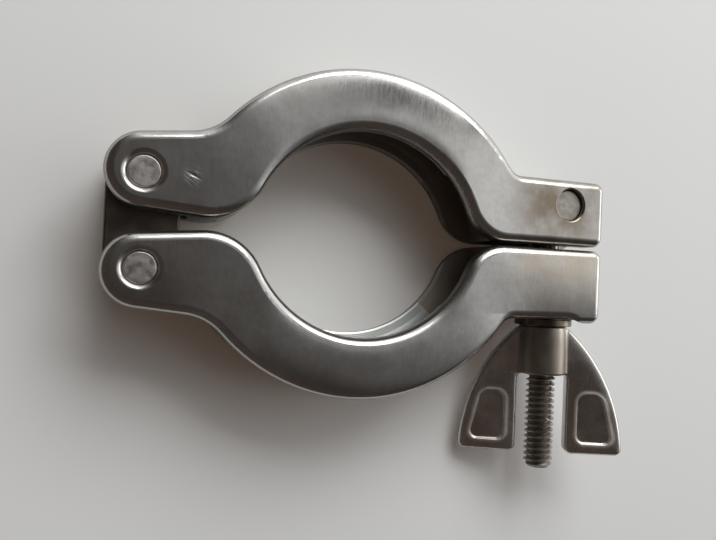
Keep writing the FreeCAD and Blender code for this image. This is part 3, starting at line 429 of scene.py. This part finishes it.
def cast_marks(add, place, outside):
    """Hairlines two ways outside the groove, the belt's grain, and the nick with its scuff."""
    marks = scratches(add, place, angle=18, length_mm=5, width_mm=0.14, seed=1.0)
    cross = scratches(add, place, angle=-52, length_mm=4, width_mm=0.13, seed=5.0)
    rubbed = scratches(add, place, angle=NICK_ANGLE, length_mm=1.4, width_mm=0.3, seed=9.0)
    hairlines = total(add, add("MapRange", [marks, 0.64, 0.78, 0, 0.05]),
                      add("MapRange", [cross, 0.66, 0.8, 0, 0.06]))
    by_nick = near(add, place, NICK_PLACE_MM, SCUFF_REACH_MM)
    rubbed = add("MapRange", [rubbed, 0.45, 0.7, 0, 1])
    return {"handled": add("Math", [hairlines, outside], operation="MULTIPLY"),
            "grain": scratches(add, place, angle=84, length_mm=2.2, width_mm=0.3, seed=7.0),
            "nick": nick(add, place),
            "scuff": add("Math", [by_nick, rubbed], operation="MULTIPLY")}


print("nick at", NICK_PLACE_MM, "mm")

# %% [markdown]
# The lathe's rings on a real seat are about a tenth of a millimetre apart. That is too fine
# to show here, so they are drawn 0.35 mm apart.

# %% Tone, roughness and relief of the castings
RING_PITCH_MM = 0.35


def cast_tone(add, place, clouds, zones, half):
    """Steel, specks, heat tint; painted shade over duller groove and walls; painted light on
    seats, lips.
    """
    specks = cloud(add, place, size_mm=1.3, seed=6.6, detail=4.0)
    return layer_tones(
        add, clouds, "#C2BFBB", "#CFCDC9",
        (add("MapRange", [specks, 0.35, 0.75, 0, 0.3]), "#ABA4A0"),
        (zones["heat"], half["heat_tone"]),
        # painted shade in the groove's recess, over its duller as-cast skin
        (zones["groove"], "#8A8075"),
        # painted light: each seat's own lit or shaded tone
        (zones["seat"], half["seat_painted_light"]),
        # walls: duller skin, and darkened as painted shade over the table's reflection
        (add("Math", [zones["walls"], 0.85], operation="MULTIPLY"), "#96918A"),
        # painted highlight: the worn edges of the lips are painted pale
        (add("Math", [zones["lips"], 0.9], operation="MULTIPLY"), "#DEDBD7"))


def cast_roughness(add, clouds, zones, marks):
    """Satin faces; the groove and walls are duller, the turned seat a little less so."""
    return total(add, add("MapRange", [clouds, *CLOUD_BAND, 0.16, 0.2]), marks["handled"],
                 add("MapRange", [marks["grain"], 0.4, 0.7, 0, 0.035]),
                 (marks["scuff"], 0.16), (zones["groove"], 0.2), (zones["walls"], 0.14),
                 (zones["seat"], -0.06))


def cast_relief(add, place, zones, marks, half):
    """From wide to fine: falling edges, waver, pits, lathe rings, grain, hairlines, nick."""
    falls = ring_falls(add, place, half["seat_y_mm"], half["back_y_mm"])
    shape = add("Math", [falls, zones["lips"]], operation="SUBTRACT")
    turns = add("Math", [zones["radius"], 2 * math.pi / (RING_PITCH_MM * MM)],
                operation="MULTIPLY")
    rings = add("Math", [turns], operation="SINE")
    lug = [(lug_fall(add, place), LUG_FALL_DEPTH_MM, 1.0)] if half["lug_falls"] else []
    return layer_relief(
        add, (shape, ROLL_DEPTH_MM, 1.0), *lug,
        (cloud(add, place, size_mm=8, seed=2.0, detail=1.0), 0.14, 0.5),
        (cloud(add, place, size_mm=0.8, seed=4.4, detail=3.0), 0.012, 0.4),
        (add("Math", [zones["seat"], rings], operation="MULTIPLY"), 0.006, 0.5),
        (marks["grain"], 0.012, 0.5),
        (marks["handled"], 0.08, 0.4),
        (total(add, marks["nick"], (marks["scuff"], 0.35)), -NICK_DEPTH_MM, 1.0))


print("lathe rings", RING_PITCH_MM, "mm apart")

# %% Cast stainless finish


def cast_stainless(name, half):
    """Tumbled cast stainless steel for one half: satin, soft edged, a little uneven."""
    material, add, place = new_material(name)
    clouds = cloud(add, place, size_mm=16, seed=3.1, detail=2.0)
    zones = cast_zones(add, place, half)
    marks = cast_marks(add, place, zones["outside"])
    return finish_metal(material, cast_tone(add, place, clouds, zones, half),
                        cast_roughness(add, clouds, zones, marks),
                        cast_relief(add, place, zones, marks, half))


for side, half in HALVES.items():
    dress(cast_stainless(f"tumbled_cast_stainless_{side}", half), f"{side}_clamp_half")

# %% [markdown]
# The link is cut from rolled stainless bar. It sits deep between the ears, in their shadow, and
# keeps the dull skin of pickling, with rolling marks along its length; its dark grey-brown tone
# is painted shade. The shader's anisotropy could hint at such marks too, but it smears every
# reflection alike, while drawn out noise gives single lines that the eye can follow.

# %% Link finish


def pickled_bar():
    """Rolled bar, dull from pickling, with lines along its length, toned dark as painted shade.
    """
    material, add, place = new_material("pickled_stainless_bar")
    clouds = cloud(add, place, size_mm=5, seed=6.1)
    lines = scratches(add, place, angle=90, length_mm=8, width_mm=0.12, seed=2.0)
    rough = total(add, add("MapRange", [clouds, *CLOUD_BAND, 0.38, 0.48]),
                  add("MapRange", [lines, 0.4, 0.7, -0.05, 0.08]))
    # the dark grey-brown tones are painted shade
    return finish_metal(material, layer_tones(add, clouds, "#5C554D", "#706960"), rough,
                        layer_relief(add, (lines, 0.015, 0.6)))


dress(pickled_bar(), "hinge_link")

# %% [markdown]
# Pins are cut from ground rod and set by a blow of a punch on each end. The blow leaves a
# dull, dimpled face; the bright ring round it is the rolled mouth of the bore, not the pin.
# Smooth Voronoi cells are round hollows side by side, so they make dimples better than noise
# does. The bolt's pin gets the same finish in a darker tone, which is painted shade.

# %% Pin finish
DIMPLE_MM = 1.5


def peened_pins(name, dull, bright):
    """Ground rod with dull, dimpled ends."""
    material, add, place = new_material(name)
    dimples = add("TexVoronoi", {"Vector": place, "Scale": 1 / (DIMPLE_MM * MM),
                                 "Smoothness": 0.9}, "Distance", feature="SMOOTH_F1")
    clouds = cloud(add, place, size_mm=1.6, seed=9.3, detail=4.0)
    grain = cloud(add, place, size_mm=0.5, seed=2.2)
    return finish_metal(material, layer_tones(add, clouds, dull, bright),
                        add("MapRange", [clouds, 0.3, 0.7, 0.36, 0.52]),
                        layer_relief(add, (grain, 0.02, 0.5), (dimples, 0.12, 0.6)))


dress(peened_pins("peened_ground_rod", "#A8A29E", "#C2BEBB"), "upper_hinge_pin",
      "lower_hinge_pin")
# The bolt's pin: the same finish, painted darker as shade.
dress(peened_pins("stained_ground_rod", "#8D8880", "#A4A098"), "bolt_pin")

# %% [markdown]
# The washer is stamped from sheet. It lies in the lug's shadow, and its dark brown tone is
# painted shade. The shade could be a film laid over bright steel, but no bright steel is left
# to see, so the brown is simply the metal's tone.

# %% Washer finish


def stamped_washer():
    """Stamped sheet, toned dark brown as painted shade, with the fine lines of rolling."""
    material, add, place = new_material("stamped_stainless_sheet")
    clouds = cloud(add, place, size_mm=3, seed=5.5)
    lines = scratches(add, place, angle=0, length_mm=3, width_mm=0.1, seed=4.0)
    rough = total(add, add("MapRange", [clouds, *CLOUD_BAND, 0.24, 0.36]),
                  add("MapRange", [lines, 0.4, 0.7, -0.03, 0.05]))
    # the dark brown tones are painted shade
    return finish_metal(material, layer_tones(add, clouds, "#6B6257", "#857B6F"), rough,
                        layer_relief(add, (lines, 0.01, 0.5)))


dress(stamped_washer(), "washer")

# %% [markdown]
# The wing nut is cast as well, but polished on a mop: smoother than the halves, so it shows
# the room more clearly, with a warm brown cast in patches where polish has stayed, and a hub
# toned darker brown. The mop takes most from the edges: the rims of the wings are rubbed, and
# their paler tone is a painted highlight, while a soft bead runs round each dished panel. The
# Bevel node finds edges by itself, but it sparkles on rims as thin as these, so they are worked
# out from the wing's own outline, counted along the wing from the bolt's axis and down from
# the hub's top.

# %% The wing's outline
BOLT_X = sum(corner[0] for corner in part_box("bolt_pin")) / 2
HUB_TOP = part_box("wing_nut")[1][1]
HUB_RADIUS = 5.2 * MM
NUT_TURN = math.radians(22)
BOW_CENTRE_MM = (-20.57, -29.08)  # of the arc through the wing's outer edge
BOW_RADIUS_MM = 38.68
WING_GAP_MM, WING_FOOT_MM, HUB_FOOT_MM = 5.4, -28.25, -10.75
PANEL_INSIDE_MM, PANEL_HEAD_MM, PANEL_FOOT_MM = 8.0, 13.3, 15.9
PANEL_TOP_MM, PANEL_END_MM, PANEL_CORNER_MM = -15.0, -25.8, 2.0


def about_bolt(add, place):
    """Distance from the bolt's axis."""
    across = add("VectorMath", [place, (-BOLT_X, 0, 0)], operation="ADD")
    return distance(add, across, (1, 0, 1))


def wing_place(add, place):
    """Distance along the wings from the bolt's axis, and height from the hub's top."""
    parts = add("SeparateXYZ", [place]).node.outputs
    across = add("Math", [parts["X"], BOLT_X], operation="SUBTRACT")
    along = total(add, (across, math.cos(NUT_TURN)), (parts["Z"], math.sin(NUT_TURN)))
    return (add("Math", [along], operation="ABSOLUTE"),
            add("Math", [parts["Y"], HUB_TOP], operation="SUBTRACT"))


print("bolt axis at", round(BOLT_X / MM, 2), "mm, hub top at", round(HUB_TOP / MM, 2), "mm")

# %% Rubbed rims, painted pale as a highlight
RIM_WIDTH = 1.0 * MM
RIM_DEPTH_MM = 0.45


def rim_fade(add, inside):
    """1 at an edge, falling away over the rim's width."""
    inwards = add("Math", [inside, 0.0], operation="MAXIMUM")
    reach = add("Math", [inwards, -RIM_WIDTH], operation="DIVIDE")
    return add("Math", [reach], operation="EXPONENT")


def worn_rims(add, along, down):
    """Rims along the wings' bowed edge, their feet and the sides that face the thread: worn, and
    painted pale as a highlight.
    """
    x = add("Math", [along, BOW_CENTRE_MM[0] * MM], operation="SUBTRACT")
    y = add("Math", [down, BOW_CENTRE_MM[1] * MM], operation="SUBTRACT")
    out = add("Math", [total(add, (x, x), (y, y))], operation="SQRT")
    bowed = rim_fade(add, add("Math", [BOW_RADIUS_MM * MM, out], operation="SUBTRACT"))
    foot = rim_fade(add, add("Math", [down, WING_FOOT_MM * MM], operation="SUBTRACT"))
    inner = rim_fade(add, add("Math", [along, WING_GAP_MM * MM], operation="SUBTRACT"))
    below_hub = add("Math", [down, HUB_FOOT_MM * MM], operation="LESS_THAN")
    inner = add("Math", [inner, below_hub], operation="MULTIPLY")
    straight = add("Math", [foot, inner], operation="MAXIMUM")
    return add("Math", [bowed, straight], operation="MAXIMUM")


print("rims rubbed over", round(RIM_WIDTH / MM, 2), "mm")

# %% Bead round each dished panel
BEAD_WIDTH = 0.5 * MM
BEAD_OUTSIDE = 0.35 * MM


def panel_bead(add, along, down):
    """A soft bead round the mouth of each dished panel, from the distance to its outline."""
    slant = add("MapRange", [down, PANEL_TOP_MM * MM, PANEL_END_MM * MM, PANEL_HEAD_MM * MM,
                             PANEL_FOOT_MM * MM])
    width = add("Math", [slant, PANEL_INSIDE_MM * MM], operation="SUBTRACT")
    half_width = add("Math", [width, 0.5], operation="MULTIPLY")
    middle = total(add, half_width, PANEL_INSIDE_MM * MM)
    level = (PANEL_TOP_MM + PANEL_END_MM) / 2 * MM
    straight_height = (PANEL_TOP_MM - PANEL_END_MM) / 2 * MM - PANEL_CORNER_MM * MM
    straight_width = add("Math", [half_width, PANEL_CORNER_MM * MM], operation="SUBTRACT")

    aside = add("Math", [along, middle], operation="SUBTRACT")
    aside = add("Math", [aside], operation="ABSOLUTE")
    across = add("Math", [aside, straight_width], operation="SUBTRACT")
    off_level = add("Math", [down, level], operation="SUBTRACT")
    off_level = add("Math", [off_level], operation="ABSOLUTE")
    upright = add("Math", [off_level, straight_height], operation="SUBTRACT")
    corner = add("CombineXYZ", [add("Math", [across, 0.0], operation="MAXIMUM"),
                                add("Math", [upright, 0.0], operation="MAXIMUM")])
    outer = add("VectorMath", [corner], "Value", operation="LENGTH")
    inner = add("Math", [add("Math", [across, upright], operation="MAXIMUM"), 0.0],
                operation="MINIMUM")
    outline = total(add, outer, inner, -PANEL_CORNER_MM * MM - BEAD_OUTSIDE)
    return bell(add, outline, BEAD_WIDTH)


print("bead", round(BEAD_WIDTH / MM, 2), "mm wide round each panel")

# %% Wing nut finish


def mopped_nut():
    """Mop polished casting: brown film, a darker hub, rims painted pale as a highlight, beaded
    panels.
    """
    material, add, place = new_material("mop_polished_cast_stainless")
    clouds = cloud(add, place, size_mm=6, seed=7.1, detail=4.0)
    film = add("MapRange", [cloud(add, place, size_mm=4, seed=3.7, detail=3.0), 0.5, 0.7, 0, 0.3])
    hub = add("MapRange", [about_bolt(add, place), HUB_RADIUS, HUB_RADIUS + MM, 1, 0],
              interpolation_type="SMOOTHSTEP")
    hazy = scratches(add, place, angle=80, length_mm=4, width_mm=0.1, seed=3.0)
    along, down = wing_place(add, place)
    rims = worn_rims(add, along, down)
    bead = panel_bead(add, along, down)

    colour = layer_tones(add, clouds, "#CBC2B9", "#DAD4CD", (film, "#8A7B6C"),
                         # the hub is toned a darker brown
                         (add("Math", [hub, 0.8], operation="MULTIPLY"), "#7D7266"),
                         # painted highlight: the rubbed rims are painted pale
                         (rims, "#E2DEDA"))
    rough = total(add, add("MapRange", [clouds, *CLOUD_BAND, 0.18, 0.27]),
                  add("MapRange", [hazy, 0.5, 0.75, 0, 0.08]), (film, 0.12), (hub, 0.16),
                  (bead, 0.32))
    return finish_metal(material, colour, rough, layer_relief(
        add, (total(add, (rims, -1.0), (bead, 0.15)), RIM_DEPTH_MM, 1.0),
        (cloud(add, place, size_mm=4.5, seed=6.0, detail=1.0), 0.14, 0.5),
        (cloud(add, place, size_mm=0.6, seed=1.4, detail=3.0), 0.01, 0.4)))


dress(mopped_nut(), "wing_nut")

# %% [markdown]
# The bolt's thread is rolled: 20 turns to the inch on a quarter inch rod, flanks at 60
# degrees, crests and roots slightly flat. It could be a bump on a plain rod, but its edge
# shows against the pale table, so it is real geometry: one turn of the flank is drawn point by
# point, and the Screw modifier carries it round and along the bolt. The eye and the plain
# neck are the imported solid's own, cut off where the thread begins.

# %% The bolt's sizes
PITCH = 1.27 * MM
CREST_RADIUS = 3.175 * MM
ROOT_RADIUS = 2.42 * MM
CREST_FLAT = 0.125 * PITCH
ROOT_FLAT = 0.25 * PITCH
THREAD_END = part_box("swing_bolt")[0][1]
THREAD_START = -13.0 * MM
TIP_CHAMFER = 0.9 * MM
NECK_LENGTH = 0.9 * MM
TOUCHING = 1e-6  # points nearer than this are one point
print("thread is", round((THREAD_START - THREAD_END) / MM, 1), "mm long")

# %% Helpers for modelling by hand


def only(piece):
    """Selects one piece alone, since an operator acts on all that is selected."""
    if bpy.context.object and bpy.context.object.mode != "OBJECT":
        bpy.ops.object.mode_set(mode="OBJECT")
    bpy.ops.object.select_all(action="DESELECT")
    piece.select_set(True)
    bpy.context.view_layer.objects.active = piece


def apply_place(piece):
    """Puts the piece's place in its mesh, as the export needs."""
    only(piece)
    bpy.ops.object.transform_apply(location=True, rotation=True, scale=True)


def pick_faces(piece, height):
    """In edit mode, selects the faces whose middle is at a height along the bolt."""
    bpy.ops.mesh.select_all(action="DESELECT")
    bpy.ops.object.mode_set(mode="OBJECT")
    for face in piece.data.polygons:
        face.select = abs(face.center.y - height) < TOUCHING
    bpy.ops.object.mode_set(mode="EDIT")
    bpy.ops.mesh.select_mode(type="FACE")


def apply_modifier(piece, kind, **settings):
    """Adds one modifier and applies it, so that its result is plain mesh."""
    only(piece)
    modifier = piece.modifiers.new(kind.title(), kind)
    for name, value in settings.items():
        setattr(modifier, name, value)
    bpy.ops.object.modifier_apply(modifier=modifier.name)


print("modelling helpers ready")

# %% [markdown]
# A plane of which all corners are merged is a single point. Extruded four times, it draws the
# root, one flank, the crest and the other flank, and the Screw modifier does the rest. The
# screw is made a little longer than the thread, and two cuts bring it to length.

# %% Thread
STEPS_PER_TURN = 40
SPARE_TURNS = 2


def thread_rod():
    """The threaded part, cut square at both ends."""
    bpy.ops.object.select_all(action="DESELECT")
    bpy.ops.mesh.primitive_plane_add(size=MM, location=(0, 0, 0))
    rod = bpy.context.object
    rod.name = "bolt_thread"
    bpy.ops.object.mode_set(mode="EDIT")
    bpy.ops.mesh.merge(type="CENTER")
    bpy.ops.transform.translate(value=(ROOT_RADIUS, 0, 0))
    slope = (PITCH - CREST_FLAT - ROOT_FLAT) / 2
    rise = CREST_RADIUS - ROOT_RADIUS
    for step in ((0, ROOT_FLAT), (rise, slope), (0, CREST_FLAT), (-rise, slope)):
        bpy.ops.mesh.extrude_vertices_move(TRANSFORM_OT_translate={"value": (*step, 0)})
    bpy.ops.object.mode_set(mode="OBJECT")
    turns = math.ceil((THREAD_START - THREAD_END) / PITCH) + SPARE_TURNS
    apply_modifier(rod, "SCREW", axis="Y", screw_offset=PITCH, angle=2 * math.pi,
                   iterations=turns, steps=STEPS_PER_TURN, render_steps=STEPS_PER_TURN,
                   use_merge_vertices=True, merge_threshold=TOUCHING)
    rod.location = (BOLT_X, THREAD_END - PITCH, 0)
    apply_place(rod)
    bpy.ops.object.mode_set(mode="EDIT")
    for height, keep_above in ((THREAD_END, True), (THREAD_START, False)):
        bpy.ops.mesh.select_all(action="SELECT")
        bpy.ops.mesh.remove_doubles(threshold=TOUCHING)
        bpy.ops.mesh.bisect(plane_co=(BOLT_X, height, 0), plane_no=(0, 1, 0), use_fill=True,
                            clear_inner=keep_above, clear_outer=not keep_above)
    bpy.ops.mesh.select_all(action="SELECT")
    bpy.ops.mesh.normals_make_consistent(inside=False)
    bpy.ops.object.mode_set(mode="OBJECT")
    print("thread", turns, "turns,", len(rod.data.polygons), "faces")
    return rod


rod = thread_rod()

# %% Chamfers at both ends, cut by a round bar with chamfered ends
BAR_SIDES = 96


def chamfered_bar(radius, low, high, chamfer):
    """A round bar along the bolt, to trim the thread with."""
    bpy.ops.object.select_all(action="DESELECT")
    bpy.ops.mesh.primitive_cylinder_add(vertices=BAR_SIDES, radius=radius, depth=high - low,
                                        location=(BOLT_X, (low + high) / 2, 0),
                                        rotation=(math.pi / 2, 0, 0))
    bar = bpy.context.object
    apply_place(bar)
    bpy.ops.object.mode_set(mode="EDIT")
    for end in (low, high):
        pick_faces(bar, end)
        bpy.ops.mesh.bevel(offset=chamfer, offset_type="OFFSET", segments=1)
    bpy.ops.object.mode_set(mode="OBJECT")
    return bar


bar = chamfered_bar(CREST_RADIUS, THREAD_END, THREAD_START + MM, TIP_CHAMFER)
apply_modifier(rod, "BOOLEAN", operation="INTERSECT", object=bar, solver="EXACT")
bpy.data.objects.remove(bar)
print("trimmed thread", len(rod.data.polygons), "faces")

# %% [markdown]
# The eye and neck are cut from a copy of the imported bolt. The neck is carried on into the
# thread and narrowed to its root, so that the two bodies overlap and join soundly. Faces that
# meet at less than 24 degrees are shaded round, and the edges of the thread stay sharp.

# %% Eye and neck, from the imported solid
SMOOTH_ANGLE = math.radians(24)


def eye_and_neck():
    """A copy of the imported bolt, cut off at the thread, with a short neck into its root."""
    piece = bpy.data.objects.new("bolt_eye", nodes["swing_bolt"].data.copy())
    bpy.context.scene.collection.objects.link(piece)
    only(piece)
    bpy.ops.object.mode_set(mode="EDIT")
    bpy.ops.mesh.select_all(action="SELECT")
    bpy.ops.mesh.remove_doubles(threshold=TOUCHING)
    bpy.ops.mesh.bisect(plane_co=(0, THREAD_START, 0), plane_no=(0, 1, 0), use_fill=True,
                        clear_inner=True)
    pick_faces(piece, THREAD_START)
    bpy.ops.mesh.extrude_region_move(TRANSFORM_OT_translate={"value": (0, -NECK_LENGTH, 0)})
    shrink = ROOT_RADIUS / CREST_RADIUS
    bpy.ops.transform.resize(value=(shrink, 1, shrink), center_override=(BOLT_X, THREAD_START, 0))
    bpy.ops.object.mode_set(mode="OBJECT")
    return piece


bolt = eye_and_neck()
apply_modifier(bolt, "BOOLEAN", operation="UNION", object=rod, solver="EXACT")
bpy.data.objects.remove(rod)
bolt.name = "threaded_swing_bolt"
only(bolt)
bpy.ops.object.shade_smooth_by_angle(angle=SMOOTH_ANGLE)
print("bolt", len(bolt.data.polygons), "faces")

# %% [markdown]
# Rolled thread: the rollers burnish crests and flanks, and the roots are toned darker.
# Pointiness could find the roots, but it depends on the mesh, so the distance from the bolt's
# axis tells the two apart.

# %% Bolt finish
CLEAN_CREST = 0.15 * MM


def rolled_thread():
    """Crests in the steel's tone over roots toned darker; the plain eye and neck are not
    darkened.
    """
    material, add, place = new_material("rolled_stainless_thread")
    height = add("SeparateXYZ", [place], "Y")
    dirt = add("MapRange", [about_bolt(add, place), ROOT_RADIUS, CREST_RADIUS - CLEAN_CREST,
                            1, 0])
    on_thread = add("Math", [height, THREAD_START], operation="LESS_THAN")
    dirt = add("Math", [dirt, on_thread], operation="MULTIPLY")
    clouds = cloud(add, place, size_mm=3, seed=2.9, detail=4.0)
    rough = total(add, add("MapRange", [clouds, *CLOUD_BAND, 0.24, 0.34]), (dirt, 0.2))
    grain = cloud(add, place, size_mm=0.4, seed=4.1)
    return finish_metal(material,
                        # the roots are toned darker
                        layer_tones(add, clouds, "#B4ADA5", "#CBC6C0", (dirt, "#80776D")),
                        rough, layer_relief(add, (grain, 0.012, 0.6)))


bolt.data.materials.clear()
bolt.data.materials.append(rolled_thread())
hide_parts("swing_bolt")
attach(bolt, "bolt")
print("bolt finished")

# %% [markdown]
# The photograph was taken close, from above and a little to the hinge side, with the clamp
# lying flat. The camera repeats that: its place and tilt were found from the outlines of the
# ears, the ring and the lugs. NADIR is the point of the clamp's middle plane straight below
# the lens, and HEIGHT is measured from that plane.

# %% Camera
FRAME_WIDTH_PX = 716
FOCAL_PX = 640
SENSOR_WIDTH_MM = 36
HEIGHT = 123.5 * MM
NADIR = Vector((-41.06 * MM, -11.70 * MM, 0))
TILT = math.radians(18.6)
TURN = math.radians(2.57)
NEAREST = 5 * MM

image_right = Vector((math.cos(TURN), math.sin(TURN), 0))
image_up = Vector((-math.sin(TURN), math.cos(TURN), 0))
above = Vector((0, 0, 1))
right = image_right * math.cos(TILT) + above * math.sin(TILT)
back = above * math.cos(TILT) - image_right * math.sin(TILT)
camera_data = bpy.data.cameras.new("photo_camera")
camera_data.sensor_width = SENSOR_WIDTH_MM
camera_data.lens = SENSOR_WIDTH_MM * FOCAL_PX / FRAME_WIDTH_PX
camera_data.clip_start = NEAREST
camera = bpy.data.objects.new("photo_camera", camera_data)
bpy.context.scene.collection.objects.link(camera)
turn = Matrix((right, image_up, back)).transposed()
camera.matrix_world = Matrix.Translation(NADIR + above * HEIGHT) @ turn.to_4x4()
bpy.context.scene.camera = camera
print("camera", camera.location)

# %% [markdown]
# A plain pale table, painted and matt. In the photograph its shadows are warm, because the
# rest of the room throws a little light back into them. A full room would do that too, but
# it would also show in the steel. So the table gives off a very little warm light of its own,
# which only the camera sees.

# %% Table
TABLE_SIZE = 4
SHADOW_GLOW = 0.03


def table():
    """A plane under the clamp, which is no part of it."""
    bpy.ops.object.select_all(action="DESELECT")
    bpy.ops.mesh.primitive_plane_add(size=TABLE_SIZE, location=(0, 0, cad_box[0][2]))
    floor = bpy.context.object
    floor.name = "table"
    material, add, _ = new_material("pale_table")
    shader = material.node_tree.nodes["Principled BSDF"]
    shader.inputs["Base Color"].default_value = linear("#E9EBEA")
    shader.inputs["Roughness"].default_value = 0.6
    shader.inputs["Emission Color"].default_value = linear("#FFC9A0")
    seen = add("LightPath", out="Is Camera Ray")
    glow = add("Math", [seen, SHADOW_GLOW], operation="MULTIPLY")
    material.node_tree.links.new(glow, shader.inputs["Emission Strength"])
    floor.data.materials.append(material)


table()
print("table at", cad_box[0][2])

# %% [markdown]
# Two window lamps light the clamp, a large one beyond it and a low one past the lugs. Small
# lamps would give hard shadows and hot points on the metal, so both are wide. They are plain
# white, so that the metal keeps its own tone.

# %% Window lamps
WINDOWS = {
    "window": {"place": (0.30, 0.70, 0.56), "size": (0.7, 0.5), "watts": 5.6},
    "side_window": {"place": (0.85, 0.10, 0.26), "size": (0.5, 0.26), "watts": 1.1},
}


def softbox(name, place, size, watts):
    """A rectangle of light that faces the clamp."""
    data = bpy.data.lights.new(name, "AREA")
    data.shape = "RECTANGLE"
    data.size, data.size_y = size
    data.energy = watts
    lamp = bpy.data.objects.new(name, data)
    lamp.location = place
    lamp.rotation_euler = (-Vector(place)).to_track_quat("-Z", "Y").to_euler()
    bpy.context.scene.collection.objects.link(lamp)


for name, window in WINDOWS.items():
    softbox(name, **window)
print("window lamps", ", ".join(WINDOWS))

# %% [markdown]
# Steel has little colour of its own and shows the room, so the room matters as much as the
# lamps: the faces near the hinge mirror the dark part of the room overhead, and grow brighter
# towards the lugs, which mirror its bright side. Walls could be built for that, but a room
# that is a ramp of light along one direction is easier to match and has no edges. It is a
# little warm where it is dark. One dark patch overhead, like a beam in the ceiling, is what
# the crown of the ring mirrors.

# %% Room
BRIGHT_SIDE = (0.70, 0.70, 0.12)
ROOM = [
    # how far a direction leans to the bright side, and how bright the room is there
    (-1.0, 0.08), (-0.25, 0.07), (0.0, 0.056), (0.12, 0.046), (0.2, 0.1), (0.33, 0.135),
    (0.43, 0.36), (0.49, 0.62), (0.53, 1.0), (0.59, 1.0), (0.64, 0.72), (0.70, 0.85),
    (0.80, 1.2), (1.0, 1.25)]
ROOM_PEAK = max(brightness for _, brightness in ROOM)  # the ramp's colours are shares of it

world = bpy.data.worlds.new("room")
bpy.context.scene.world = world
world.use_nodes = True
add = partial(add_node, world.node_tree)
direction = add("TexCoord", out="Generated")
lean = add("VectorMath", [direction, BRIGHT_SIDE], "Value", operation="DOT_PRODUCT")
ramp = add("ValToRGB", [add("MapRange", [lean, -1, 1, 0, 1])])
stops = ramp.node.color_ramp.elements
while len(stops) < len(ROOM):
    stops.new(0.5)
for stop, (amount, brightness) in zip(stops, ROOM):
    stop.position = (amount + 1) / 2
    stop.color = (*[brightness / ROOM_PEAK] * 3, 1)
print("room of", len(ROOM), "stops, peak", ROOM_PEAK)

# %% The room's light
WARM_TO_WHITE = (-0.2, 0.4)
DARK_PATCH = Vector((0.362, 0.325, 0.87)).normalized()
PATCH_RIM, PATCH_CORE = math.radians(8), math.radians(3.8)

background = world.node_tree.nodes["Background"]
white_share = add("MapRange", [lean, *WARM_TO_WHITE, 0, 1])
warmth = add("Mix", {MIX_FACTOR: white_share, MIX_UNDER: linear("#F2D9CB"),
                     MIX_OVER: linear("#FCFEFF")}, MIX_RESULT, data_type="RGBA")
closeness = add("VectorMath", [direction, DARK_PATCH], "Value", operation="DOT_PRODUCT")
shade = add("MapRange", [closeness, math.cos(PATCH_RIM), math.cos(PATCH_CORE), 1, 0],
            interpolation_type="SMOOTHSTEP")
light = add("Math", [ramp, ROOM_PEAK], operation="MULTIPLY")
light = add("Math", [light, shade], operation="MULTIPLY")
world.node_tree.links.new(warmth, background.inputs["Color"])
world.node_tree.links.new(light, background.inputs["Strength"])
bpy.context.scene.view_settings.view_transform = "Standard"
print("dark patch", round(math.degrees(PATCH_RIM), 1), "degrees to its rim")
